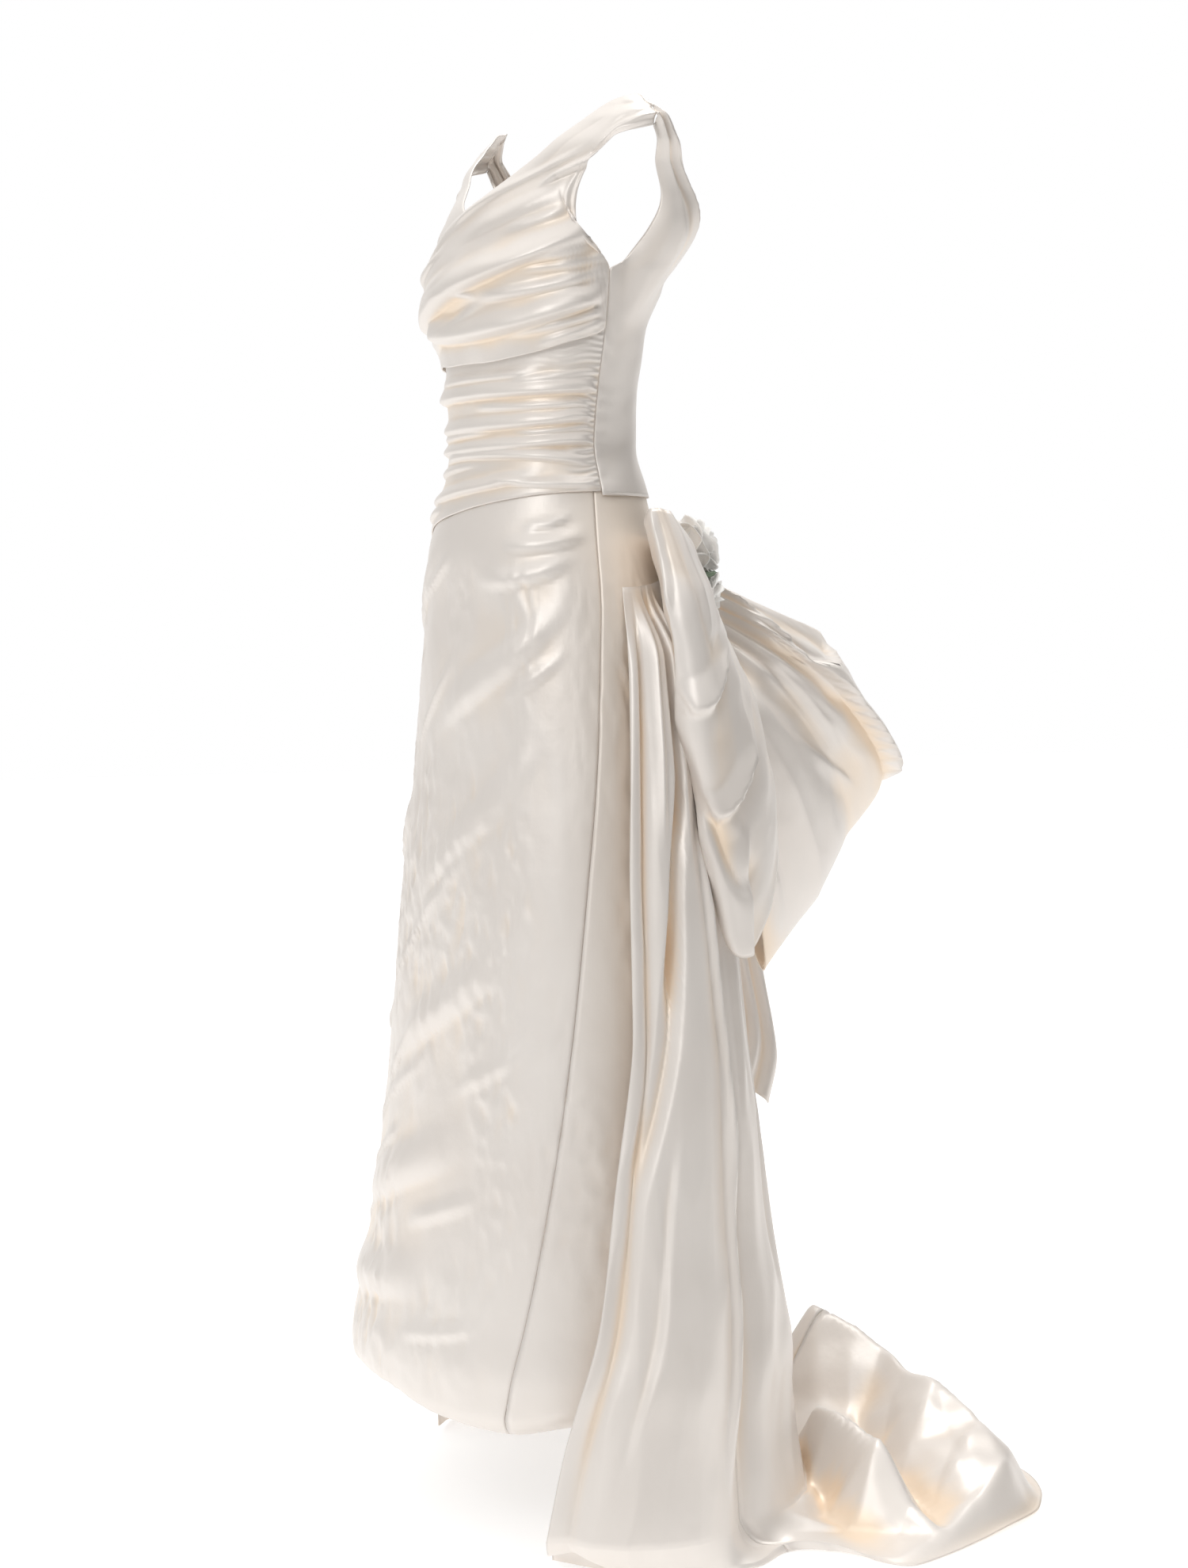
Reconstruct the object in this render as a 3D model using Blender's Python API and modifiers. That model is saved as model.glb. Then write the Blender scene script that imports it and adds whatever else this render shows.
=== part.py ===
"""Draped satin evening gown: surplice bodice, ruched waist, bubble-hem column skirt,
an open overskirt with a floor train, and a large bow with roses at the back of the hip.

Metres, +Z up, the gown's front faces -Y and the wearer's left is +X.
The origin is the level where the shoulders hold the straps, on the wearer's axis.
"""
import math

import bmesh
import bpy
import numpy as np

# Cloth
WALL = 0.0016               # thickness of the doubled satin
SEAM = 0.0005               # gap at a sewn edge on the outer face, 0.3 mm or less on the inner
SEAM_RADIUS = 0.065         # radius at which a seam's angle gives that gap
GORE_GIRTH = 0.36           # way round the hip, and what it gains down to the floor, which
GORE_SPREAD = 0.30          # turn the same gap into a share of the way round the overskirt
SHOULDER_INSET = 0.9        # degrees that each strap end stays off the shoulder seam
LAYER = 0.0024              # step from one cloth's outer face to that of the cloth over it
UNDER_LAP = 0.0010          # how far the bodice front under the lap lies off the figure

# Levels are heights above a datum that lies FLOOR_DROP above the floor
HOLD_LEVEL = 1.440          # shoulders
FLOOR_DROP = 0.015
FLOOR_Z = -(HOLD_LEVEL + FLOOR_DROP)
SKIRT_TOP = 1.075
OVERSKIRT_TOP = 0.965       # at its two front edges
OVERSKIRT_BACK_RISE = 0.028  # its top is this much higher behind, where the bow is sewn on
SIDE_ANGLE = 88.0           # side seam of the bodice, in degrees from the front
SIDE_FADE = 6.0             # degrees over which folds die out before that seam
HEM_ROLL = 0.022            # radius of the skirt's bubble hem
HEM_TURN = math.radians(170)
SKIRT_TUCK = 0.0005         # how much deeper the skirt lies under the waist
SKIRT_TUCK_LEVEL, SKIRT_TUCK_FADE = 0.985, 0.030
SKIRT_ROWS, SKIRT_ROW_POWER = 13, 1.35      # rows down the skirt, closer together at its top
HEM_ROWS = 4

# Figure under the cloth: half width, depth in front, depth behind and centre of each level
FORM_COLUMNS = ("level", "half_width", "front", "back", "centre")
FORM = (
    (0.000, 0.252, 0.202, 0.180, 0.000),
    (0.157, 0.252, 0.202, 0.180, 0.000),
    (0.216, 0.247, 0.191, 0.172, 0.000),
    (0.298, 0.236, 0.176, 0.162, 0.000),
    (0.380, 0.228, 0.165, 0.155, 0.000),
    (0.494, 0.217, 0.153, 0.145, 0.000),
    (0.645, 0.202, 0.142, 0.135, 0.000),
    (0.800, 0.186, 0.125, 0.128, 0.000),
    (0.880, 0.175, 0.122, 0.124, 0.000),
    (0.950, 0.165, 0.118, 0.120, 0.000),
    (1.000, 0.152, 0.120, 0.112, 0.000),
    (1.060, 0.133, 0.105, 0.098, 0.000),
    (1.115, 0.119, 0.092, 0.088, -0.003),
    (1.170, 0.126, 0.096, 0.086, -0.002),
    (1.220, 0.136, 0.104, 0.088, 0.000),
    (1.285, 0.147, 0.120, 0.092, 0.000),
    (1.325, 0.150, 0.111, 0.094, 0.004),
    (1.360, 0.155, 0.100, 0.094, 0.008),
    (1.395, 0.171, 0.079, 0.088, 0.013),
    (1.420, 0.190, 0.068, 0.075, 0.020),
    (1.440, 0.190, 0.052, 0.060, 0.025),
    (1.455, 0.170, 0.040, 0.045, 0.027),
    (1.470, 0.145, 0.030, 0.030, 0.028),
)

# Front bodice that laps over, one row for each thread from its neck edge to its low edge
FRONT_COLUMNS = ("neck_angle", "neck_level", "low_angle", "low_level")
LEFT_FRONT = (
    (-86.0, 1.235, -86.0, 1.195),
    (-66.0, 1.256, -68.0, 1.196),
    (-46.0, 1.285, -48.0, 1.198),
    (-25.0, 1.319, -28.0, 1.200),
    (-8.0, 1.346, -6.0, 1.197),
    (3.0, 1.361, 20.0, 1.197),
    (11.0, 1.373, 45.0, 1.203),
    (16.0, 1.384, 67.0, 1.214),
    (20.5, 1.394, 88.0, 1.232),
    (26.0, 1.408, 88.0, 1.287),
    (33.0, 1.434, 70.0, 1.325),
    (40.0, 1.447, 64.0, 1.362),
    (50.0, 1.457, 61.5, 1.394),
    (65.0, 1.464, 65.0, 1.419),
    (90.0, 1.468, 90.0, 1.430),
)
# Front bodice that lies under it, in angles towards the wearer's right
RIGHT_FRONT = (
    (-16.0, 1.325, -16.0, 1.236),
    (0.0, 1.356, 5.0, 1.230),
    (11.0, 1.373, 45.0, 1.228),
    (20.5, 1.394, 88.0, 1.2225),
    (26.0, 1.408, 88.0, 1.287),
    (33.0, 1.434, 70.0, 1.325),
    (40.0, 1.447, 64.0, 1.362),
    (50.0, 1.457, 61.5, 1.394),
    (65.0, 1.464, 65.0, 1.419),
    (90.0, 1.468, 90.0, 1.430),
)
# Back bodice with its strap, one row for each thread from the centre or neck edge to the side
BACK_BODICE = (
    (180.0, 1.060, 88.0, 1.060),
    (180.0, 1.115, 88.0, 1.115),
    (180.0, 1.170, 88.0, 1.170),
    (180.0, 1.225, 88.0, 1.232),
    (180.0, 1.270, 88.0, 1.287),
    (158.0, 1.300, 97.0, 1.300),
    (142.0, 1.335, 102.0, 1.330),
    (128.0, 1.375, 104.0, 1.365),
    (114.0, 1.415, 101.0, 1.398),
    (101.0, 1.447, 95.0, 1.420),
    (90.0, 1.468, 90.0, 1.430),
)
PUFF_ANGLE, PUFF_LEVEL = 117.0, 1.338       # where the strap hangs furthest off the shoulder blade
PUFF_RISE, PUFF_SPREAD, PUFF_HEIGHT = 0.042, 26.0, 0.060
PUFF_START, PUFF_END = 96.0, 165.0
PUFF_IN, PUFF_OUT = 11.0, 30.0              # degrees over which it swells and dies out
STRAP_FALL_LEVEL, STRAP_FALL = 1.232, 0.050  # where the back turns into the loose strap
TUCK = 0.0026               # how much deeper the waist drape lies under the bodice's lower edge
TUCK_START, TUCK_FADE, TUCK_SIDE = 0.036, 0.020, 14.0
RUCHE_MARGIN, RUCHE_FADE = 0.016, 0.012     # the ruching stops this far under its upper edge

# Draped folds: a line from start to end that sags, a ridge with a slope above and a drop below
# Columns: start_angle, start_level, end_angle, end_level, sag, rise, above, below, fade
BODICE_FOLDS = (
    (84.0, 1.336, -60.0, 1.232, 0.010, 0.0085, 0.040, 0.012, 0.22),
    (92.0, 1.268, -34.0, 1.236, 0.024, 0.0100, 0.030, 0.010, 0.20),
    (80.0, 1.312, 10.0, 1.296, 0.004, 0.0040, 0.018, 0.012, 0.30),
    (70.0, 1.400, 14.0, 1.352, -0.004, 0.0045, 0.016, 0.012, 0.30),
    (62.0, 1.372, 4.0, 1.325, 0.000, 0.0035, 0.020, 0.014, 0.40),
    (30.0, 1.255, -40.0, 1.214, 0.002, 0.0045, 0.014, 0.009, 0.35),
)
WAIST_FOLDS = (
    (96.0, 1.170, -96.0, 1.166, 0.004, 0.0075, 0.020, 0.006, 0.10),
    (96.0, 1.143, -96.0, 1.139, 0.010, 0.0060, 0.016, 0.007, 0.10),
    (96.0, 1.119, -96.0, 1.112, 0.006, 0.0065, 0.014, 0.007, 0.12),
    (94.0, 1.091, -30.0, 1.098, -0.008, 0.0055, 0.014, 0.007, 0.20),
    (96.0, 1.073, 20.0, 1.078, 0.004, 0.0050, 0.012, 0.006, 0.20),
    (60.0, 1.082, -96.0, 1.046, 0.004, 0.0060, 0.016, 0.007, 0.18),
    (-10.0, 1.052, -96.0, 1.018, 0.002, 0.0055, 0.014, 0.007, 0.20),
)
# Edges of the waist drape
WAIST_COLUMNS = ("angle", "foot_level", "top_level")
WAIST_EDGES = (
    (-88.0, 0.990, 1.2090),
    (-60.0, 1.004, 1.2120),
    (-30.0, 1.028, 1.2150),
    (0.0, 1.041, 1.2120),
    (30.0, 1.053, 1.2140),
    (60.0, 1.061, 1.2270),
    (88.0, 1.064, 1.2480),
)

# Column skirt
SKIRT_SEAM = ((0.100, 46.0), (0.360, 58.0), (0.675, 71.0), (0.875, 78.0), (1.075, 84.0))
HEM_LEVELS = (
    (-180.0, 0.122), (-90.0, 0.144), (-60.0, 0.147), (-21.0, 0.132), (2.0, 0.127), (22.0, 0.112),
    (46.0, 0.104), (64.0, 0.115), (90.0, 0.120), (180.0, 0.122),
)
SKIRT_FOLDS = (
    (78.0, 1.018, 30.0, 1.000, 0.004, 0.0035, 0.020, 0.012, 0.40),
    (70.0, 0.960, -6.0, 0.820, 0.010, 0.0040, 0.034, 0.022, 0.40),
    (56.0, 0.820, -10.0, 0.640, 0.010, 0.0040, 0.040, 0.026, 0.40),
    (46.0, 0.600, -20.0, 0.470, 0.008, 0.0045, 0.040, 0.026, 0.40),
    (30.0, 0.400, -44.0, 0.300, 0.006, 0.0060, 0.044, 0.028, 0.40),
    (20.0, 0.250, -60.0, 0.225, 0.006, 0.0060, 0.040, 0.024, 0.40),
    (-8.0, 1.010, -62.0, 0.900, 0.008, 0.0040, 0.034, 0.022, 0.40),
    (-14.0, 0.760, -70.0, 0.620, 0.008, 0.0040, 0.040, 0.026, 0.40),
)

# Overskirt: its two front edges, and how far it stands off the figure at the side and behind
EDGE_COLUMNS = ("level", "left_angle", "right_angle", "side_ease", "back_ease")
OVERSKIRT = (
    (-0.015, 58.5, 270.0, 0.036, 0.034),
    (0.100, 63.0, 270.5, 0.028, 0.030),
    (0.230, 71.0, 271.0, 0.024, 0.028),
    (0.360, 75.5, 271.0, 0.022, 0.024),
    (0.520, 82.0, 271.0, 0.019, 0.020),
    (0.675, 83.5, 270.5, 0.016, 0.018),
    (0.800, 86.5, 269.5, 0.012, 0.014),
    (0.920, 90.5, 268.0, 0.004, 0.005),
    (0.965, 92.0, 268.0, -0.0006, -0.0006),
)
# Seams between the gores lie in valleys between folds: share of the way round at top and foot
GORES = (
    ("overskirt_side_left", (0.000, 0.000), (0.163, 0.225)),
    ("overskirt_back_left", (0.163, 0.225), (0.386, 0.569)),
    ("overskirt_back_right", (0.386, 0.569), (0.633, 0.789)),
    ("overskirt_side_right", (0.633, 0.789), (1.000, 1.000)),
)
# Organ-pipe folds, placed by their share of the way round from the left front edge
# Columns: top_share, foot_share, head_level, top_rise, foot_rise, top_half, foot_half
PIPES = (
    (0.030, 0.010, 0.860, 0.010, 0.014, 0.022, 0.026),
    (0.140, 0.118, 0.640, 0.004, 0.046, 0.012, 0.098),
    (0.125, 0.215, 0.950, 0.016, 0.006, 0.038, 0.020),
    (0.215, 0.355, 0.940, 0.012, 0.034, 0.052, 0.122),
    (0.330, 0.522, 0.950, 0.012, 0.032, 0.048, 0.050),
    (0.450, 0.630, 0.940, 0.014, 0.044, 0.056, 0.062),
    (0.570, 0.740, 0.930, 0.014, 0.040, 0.052, 0.054),
    (0.700, 0.835, 0.930, 0.014, 0.042, 0.056, 0.050),
    (0.830, 0.915, 0.900, 0.013, 0.040, 0.050, 0.040),
    (0.950, 0.980, 0.860, 0.010, 0.024, 0.036, 0.026),
)

# Train on the floor: outer edge by share of the way round
TRAIN_EDGE = (
    (0.000, 0.228, -0.110), (0.050, 0.285, -0.078), (0.100, 0.318, -0.040), (0.150, 0.330, 0.012),
    (0.190, 0.338, 0.062), (0.225, 0.310, 0.118), (0.265, 0.332, 0.158), (0.320, 0.407, 0.208),
    (0.375, 0.362, 0.335), (0.420, 0.310, 0.430), (0.500, 0.163, 0.505), (0.580, -0.024, 0.510),
    (0.660, -0.167, 0.430), (0.750, -0.300, 0.300), (0.850, -0.340, 0.150), (0.940, -0.330, 0.050),
    (1.000, -0.280, 0.000),
)
FOOT_LEVEL = 0.040          # where the hanging cloth starts to turn out onto the floor
FOOT_FLARE = 0.022
GORE_COLUMNS, GORE_ROWS, TRAIN_ROWS = 12, 14, 7
GORE_ROW_POWER = 1.25       # rows lie closer together at the top
BORDER, BORDER_CRUMPLE = 0.30, 0.12         # outer share of the train where its crumples flatten
# Crests of the crumpled train: a line from one point to another, its heights and its half width
# Columns: x0, y0, z0, x1, y1, z1, half_width
CRESTS = (
    (0.169, 0.228, 0.120, 0.285, 0.246, 0.085, 0.070),
    (0.285, 0.246, 0.085, 0.300, 0.200, 0.012, 0.050),
    (0.159, 0.393, 0.105, 0.184, 0.407, 0.095, 0.080),
    (0.184, 0.407, 0.092, 0.282, 0.408, 0.062, 0.060),
    (0.159, 0.393, 0.100, 0.294, 0.258, 0.020, 0.060),
    (-0.013, 0.345, 0.168, 0.062, 0.396, 0.128, 0.090),
    (0.062, 0.396, 0.128, 0.160, 0.389, 0.112, 0.080),
    (0.197, 0.110, 0.060, 0.246, 0.148, 0.070, 0.050),
    (0.246, 0.148, 0.070, 0.205, 0.237, 0.050, 0.045),
    (0.271, 0.133, 0.032, 0.330, 0.100, 0.008, 0.035),
    (-0.110, 0.270, 0.110, -0.060, 0.440, 0.070, 0.080),
    (-0.200, 0.200, 0.080, -0.235, 0.330, 0.030, 0.065),
    (-0.270, 0.080, 0.060, -0.320, 0.150, 0.020, 0.050),
)

# Bow: the edge of each loop furthest from the knot, by share across the ribbon
LOOP_COLUMNS = ("share", "x", "y", "level", "bow", "half", "droop")
LEFT_LOOP = (
    (0.00, 0.205, 0.036, 1.045, 0.004, 0.012, -0.016),
    (0.20, 0.238, 0.050, 0.950, 0.004, 0.015, 0.000),
    (0.50, 0.258, 0.066, 0.819, 0.012, 0.020, 0.020),
    (0.75, 0.256, 0.086, 0.700, 0.030, 0.026, 0.026),
    (1.00, 0.244, 0.112, 0.587, 0.044, 0.022, 0.020),
)
RIGHT_LOOP = (
    (0.00, -0.100, 0.400, 0.915, 0.010, 0.040, -0.010),
    (0.20, -0.110, 0.446, 0.835, 0.014, 0.058, 0.000),
    (0.40, -0.120, 0.495, 0.745, 0.018, 0.064, 0.010),
    (0.65, -0.105, 0.430, 0.665, 0.020, 0.058, 0.020),
    (0.85, -0.070, 0.350, 0.590, 0.022, 0.044, 0.020),
    (1.00, -0.030, 0.290, 0.535, 0.024, 0.026, 0.020),
)
KNOT_HALF = (0.024, 0.020, 0.028)
KNOT_LEVEL = 0.982
KNOT_BEVEL = 0.012
KNOT_STANDOFF = 0.0010      # how far it lies off the overskirt's smooth form
LOOP_ROOT = 0.025           # half height of a loop where it is gathered into the knot
LOOP_ROOT_GAP = 0.0040      # half distance between its two sheets there
LOOP_STANDOFF = 0.0009      # how far its gathered edge lies from the knot
GATHERS = 5                 # ripples across a loop near the knot
GATHER_RISE = 0.0035
LOOP_ROWS, LOOP_TURN_CELLS = 10, 20
LOOP_OPENS = 0.35           # share of a loop's length over which its sheets part
LOOP_SAG_POWER = 0.8        # how fast a loop falls on leaving the knot

# Tail of the bow: centre line, by share of its length
TAIL_COLUMNS = ("share", "x", "y", "level", "half_width")
TAIL = (
    (0.00, -0.004, 0.1320, 0.9532, 0.006),
    (0.10, -0.045, 0.1325, 0.935, 0.007),
    (0.25, -0.120, 0.185, 0.870, 0.018),
    (0.45, -0.200, 0.262, 0.750, 0.028),
    (0.70, -0.205, 0.352, 0.580, 0.036),
    (0.90, -0.168, 0.356, 0.450, 0.034),
    (1.00, -0.160, 0.340, 0.390, 0.034),
)
TAIL_SLANT = 0.030
TAIL_PLEATS = 3
TAIL_PLEAT_RISE = 0.004
TAIL_ROWS = 12
TAIL_PLEAT_START, TAIL_SLANT_START = 0.3, 0.6  # shares of the length over which these grow

# Roses and leaves on the knot, each facing a turn from behind and a lift, in degrees
# Columns: name, turn, lift, radius, height
ROSES = (
    ("rose_upper", 15.0, 30.0, 0.0220, 0.024),
    ("rose_lower", 25.0, -25.0, 0.0240, 0.026),
    ("rose_bud", -35.0, 55.0, 0.0150, 0.022),
)
ROSE_PROFILE = ((0.00, 0.70), (0.32, 0.80), (0.52, 1.00), (0.82, 0.94), (1.00, 0.62),
                (0.88, 0.26), (0.50, 0.02), (0.30, 0.00), (0.00, 0.00))
ROSE_PETALS, ROSE_LOBE, ROSE_SIDES = 5, 0.08, 15
# Columns: name, turn, tilt, length, half_width
LEAVES = (("leaf_left", 62.0, 28.0, 0.034, 0.008), ("leaf_right", -6.0, -24.0, 0.034, 0.008))
LEAF_WALL = 0.0010
LEAF_FOLD = 0.25            # how far a leaf's sides bend up from its rib, as a share of its width
LEAF_TIP, LEAF_POWER = (0.06, 0.90), 0.8

SATIN = (0.90, 0.86, 0.79)
SATIN_ROUGHNESS = 0.32
PETAL = (0.93, 0.93, 0.93)
LEAF_GREEN = (0.10, 0.15, 0.09)


def column(table, names, name):
    """One named column of a table as an array."""
    return np.array([row[names.index(name)] for row in table], float)


def smooth(x):
    """Ramp from 0 to 1 with level ends."""
    t = np.clip(x, 0.0, 1.0)
    return t * t * (3.0 - 2.0 * t)


def through(x, keys, values):
    """Smooth curve through the points (keys, values), with no overshoot between them."""
    keys, values = np.asarray(keys, float), np.asarray(values, float)
    step = np.diff(keys)
    slope = np.diff(values) / step
    tangent = np.zeros_like(values)
    tangent[0], tangent[-1] = slope[0], slope[-1]
    same_way = slope[:-1] * slope[1:] > 0.0
    product, total = slope[:-1] * slope[1:], slope[:-1] + slope[1:]
    tangent[1:-1] = np.where(same_way, 2.0 * product / np.where(same_way, total, 1.0), 0.0)
    i = np.clip(np.searchsorted(keys, x, side="right") - 1, 0, len(keys) - 2)
    t = np.clip((x - keys[i]) / step[i], 0.0, 1.0)
    start = (1.0 + 2.0 * t) * (1.0 - t) ** 2 * values[i] + t * (1.0 - t) ** 2 * step[i] * tangent[i]
    end = t * t * (3.0 - 2.0 * t) * values[i + 1] - t * t * (1.0 - t) * step[i] * tangent[i + 1]
    return start + end


def on_figure(angle, level, ease):
    """Point at an angle from the front and a level, moved out from the figure by ease."""
    keys = column(FORM, FORM_COLUMNS, "level")
    half, front, back, centre = (through(level, keys, column(FORM, FORM_COLUMNS, name))
                                 for name in FORM_COLUMNS[1:])
    turn = np.radians(angle)
    depth = np.where(np.cos(turn) > 0.0, front, back)
    out_x, out_y = np.sin(turn) / half, -np.cos(turn) / depth
    length = np.hypot(out_x, out_y)
    x = half * np.sin(turn) + ease * out_x / length
    y = centre - depth * np.cos(turn) + ease * out_y / length
    return np.stack(np.broadcast_arrays(x, y, level - HOLD_LEVEL), axis=-1)


def draped(angle, level, folds):
    """Height of the draped folds at a point, each a ridge that slopes above and drops below."""
    total = 0.0
    for a0, l0, a1, l1, sag, rise, above, below, fade in folds:
        t = (angle - a0) / (a1 - a0)
        line = l0 + (l1 - l0) * t - 4.0 * sag * t * (1.0 - t)
        away = level - line
        width = np.where(away > 0.0, above, below)
        ridge = np.cos(np.clip(np.abs(away) / width, 0.0, 1.0) * math.pi / 2.0) ** 2
        ends = smooth(t / fade) * smooth((1.0 - t) / fade)
        total = total + (rise * ridge * ends) ** 3
    return np.cbrt(total) * smooth((SIDE_ANGLE - np.abs(angle)) / SIDE_FADE)


def spread(first, last, cells):
    """Even steps from first to last."""
    return np.linspace(first, last, cells + 1)


def lofted_threads(table, cells_each, cells_across):
    """Angles and levels over a panel whose threads run as the table's rows say."""
    rows = np.arange(len(table))
    along = spread(0, len(table) - 1, (len(table) - 1) * cells_each)
    across = spread(0.0, 1.0, cells_across)[None, :]
    neck_angle, neck_level, low_angle, low_level = (
        through(along, rows, column(table, FRONT_COLUMNS, name))[:, None] for name in FRONT_COLUMNS)
    angle = neck_angle + (low_angle - neck_angle) * across
    level = neck_level + (low_level - neck_level) * across
    return angle, level


def seam_inset(angle, edge, side):
    """Angle moved off a seam at edge by half the seam's gap, side being the way it moves."""
    half_gap = SHOULDER_INSET if edge == 90.0 else math.degrees(SEAM / 2.0 / SEAM_RADIUS)
    return np.where(np.abs(angle - edge) < 1e-6, angle + side * half_gap, angle)


def principled(name, colour, roughness):
    """Material of one sub-part."""
    material = bpy.data.materials.new(name)
    material.use_nodes = True
    shader = material.node_tree.nodes["Principled BSDF"]
    shader.inputs["Base Color"].default_value = (*colour, 1.0)
    shader.inputs["Roughness"].default_value = roughness
    shader.inputs["Metallic"].default_value = 0.0
    return material


def place(name, mesh, colour, roughness):
    """Put a mesh in the gown's collection as a named object with its own material."""
    mesh.shade_smooth()
    thing = bpy.data.objects.new(name, mesh)
    mesh.materials.append(principled(name, colour, roughness))
    gown.objects.link(thing)
    return thing


def cloth(name, points, flip=False, wall=WALL, colour=SATIN, roughness=SATIN_ROUGHNESS):
    """Sheet through a grid of points, given its wall on the inner side by Solidify."""
    rows, columns = points.shape[:2]
    index = np.arange(rows * columns).reshape(rows, columns)
    corners = [index[:-1, :-1], index[:-1, 1:], index[1:, 1:], index[1:, :-1]]
    if flip:
        corners.reverse()
    faces = np.stack([corner.ravel() for corner in corners], axis=1)
    mesh = bpy.data.meshes.new(name)
    mesh.from_pydata(points.reshape(-1, 3).tolist(), [], faces.tolist())
    mesh.update()
    thing = place(name, mesh, colour, roughness)
    solidify = thing.modifiers.new("wall", "SOLIDIFY")
    solidify.thickness = wall
    solidify.offset = -1.0
    return thing


def front_left():
    """Front bodice that laps over the other, from the right waist to the left shoulder."""
    angle, level = lofted_threads(LEFT_FRONT, 2, 11)
    rise = draped(angle, level, BODICE_FOLDS)
    angle = seam_inset(seam_inset(angle, SIDE_ANGLE, -1), 90.0, -1)
    cloth("bodice_front_left", on_figure(angle, level, 2.0 * LAYER + rise))


def front_right():
    """Front bodice under the lap."""
    angle, level = lofted_threads(RIGHT_FRONT, 2, 9)
    angle = seam_inset(seam_inset(angle, SIDE_ANGLE, -1), 90.0, -1)
    cloth("bodice_front_right", on_figure(-angle, level, np.full_like(level, UNDER_LAP)), flip=True)


def back_bodice(name, hand, top_ease):
    """Back bodice, whose strap puffs off the shoulder blade; hand is 1 on the left."""
    angle, level = lofted_threads(BACK_BODICE, 2, 9)
    falls = smooth((level - STRAP_FALL_LEVEL) / STRAP_FALL)
    ease = LAYER + (top_ease - LAYER) * falls
    puff = np.exp(-((angle - PUFF_ANGLE) / PUFF_SPREAD) ** 2 - ((level - PUFF_LEVEL) / PUFF_HEIGHT) ** 2)
    swell = smooth((angle - PUFF_START) / PUFF_IN) * smooth((PUFF_END - angle) / PUFF_OUT)
    ease = ease + PUFF_RISE * puff * swell
    angle = seam_inset(seam_inset(seam_inset(angle, SIDE_ANGLE, 1), 90.0, 1), 180.0, -1)
    cloth(name, on_figure(hand * angle, level, ease), flip=hand > 0)


def waist():
    """Ruched drape round the front of the waist."""
    keys = column(WAIST_EDGES, WAIST_COLUMNS, "angle")
    half_gap = math.degrees(SEAM / 2.0 / SEAM_RADIUS)
    angle = spread(-SIDE_ANGLE + half_gap, SIDE_ANGLE - half_gap, 24)[:, None]
    foot = through(angle, keys, column(WAIST_EDGES, WAIST_COLUMNS, "foot_level"))
    top = through(angle, keys, column(WAIST_EDGES, WAIST_COLUMNS, "top_level"))
    level = foot + (top - foot) * spread(0.0, 1.0, 11)[None, :]
    angle = np.broadcast_to(angle, level.shape)
    rise = draped(angle, level, WAIST_FOLDS) * smooth((top - RUCHE_MARGIN - level) / RUCHE_FADE)
    under = smooth((level - (top - TUCK_START)) / TUCK_FADE)
    tuck = TUCK * under * smooth((SIDE_ANGLE - np.abs(angle)) / TUCK_SIDE)
    cloth("waist_drape", on_figure(angle, level, LAYER - tuck + rise), flip=True)


def hem_level(angle):
    """Level of the skirt's lowest point at an angle."""
    return through(angle, *np.transpose(HEM_LEVELS))


def skirt_panel(name, first, last, cells, flip):
    """Panel of the column skirt between two edges, each an angle at each share of the drop."""
    down = spread(0.0, 1.0, SKIRT_ROWS) ** SKIRT_ROW_POWER
    turn = spread(0.0, HEM_TURN, HEM_ROWS)[1:]
    share = np.concatenate([down, np.ones(len(turn))])[None, :]
    turn = np.concatenate([np.zeros(len(down)), turn])[None, :]
    across = spread(0.0, 1.0, cells)[:, None]
    angle = first(share) + (last(share) - first(share)) * across
    hem = hem_level(np.where(angle > 180.0, angle - 360.0, angle))
    level = SKIRT_TOP + (hem + HEM_ROLL - SKIRT_TOP) * share
    rise = draped(angle, level, SKIRT_FOLDS)
    tuck = SKIRT_TUCK * smooth((level - SKIRT_TUCK_LEVEL) / SKIRT_TUCK_FADE)
    ease = rise * (turn == 0.0) - tuck - HEM_ROLL * (1.0 - np.cos(turn))
    cloth(name, on_figure(angle, level - HEM_ROLL * np.sin(turn), ease), flip=flip)


def skirt():
    """Column skirt in three panels with a rolled bubble hem."""
    levels, angles = np.transpose(SKIRT_SEAM)
    half_gap = math.degrees(SEAM / 2.0 / SEAM_RADIUS)

    def seam(share):
        return through(SKIRT_TOP - (SKIRT_TOP - levels[0]) * share, levels, angles)

    skirt_panel("skirt_front", lambda s: half_gap - seam(s), lambda s: seam(s) - half_gap, 17, False)
    skirt_panel("skirt_back_left", lambda s: seam(s) + half_gap, lambda s: 180.0 - half_gap + 0 * s, 8, False)
    skirt_panel("skirt_back_right", lambda s: 180.0 + half_gap + 0 * s, lambda s: 360.0 - seam(s) - half_gap,
                8, False)


def pipes(share, level):
    """Rise of the organ-pipe folds at a share of the way round and a level."""
    rise = np.zeros(np.broadcast(share, level).shape)
    for top, foot, head, top_rise, foot_rise, top_half, foot_half in PIPES:
        drop = np.clip((head - level) / head, 0.0, 1.0)
        centre = top + (foot - top) * drop
        half = top_half + (foot_half - top_half) * drop
        height = (top_rise + (foot_rise - top_rise) * drop) * smooth(drop / 0.10)
        tube = np.sqrt(np.clip(1.0 - ((share - centre) / half) ** 2, 0.0, 1.0))
        rise = np.maximum(rise, height * tube)
    return rise


def overskirt_point(share, level):
    """Point on the hanging overskirt."""
    keys = column(OVERSKIRT, EDGE_COLUMNS, "level")
    left, right, side, back = (through(level, keys, column(OVERSKIRT, EDGE_COLUMNS, name))
                               for name in EDGE_COLUMNS[1:])
    angle = left + (right - left) * share
    behind = np.clip(-np.cos(np.radians(angle)), 0.0, 1.0)
    ease = LAYER + side + (back - side) * behind + pipes(share, level)
    return on_figure(angle, np.maximum(level, 0.0), ease)


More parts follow.
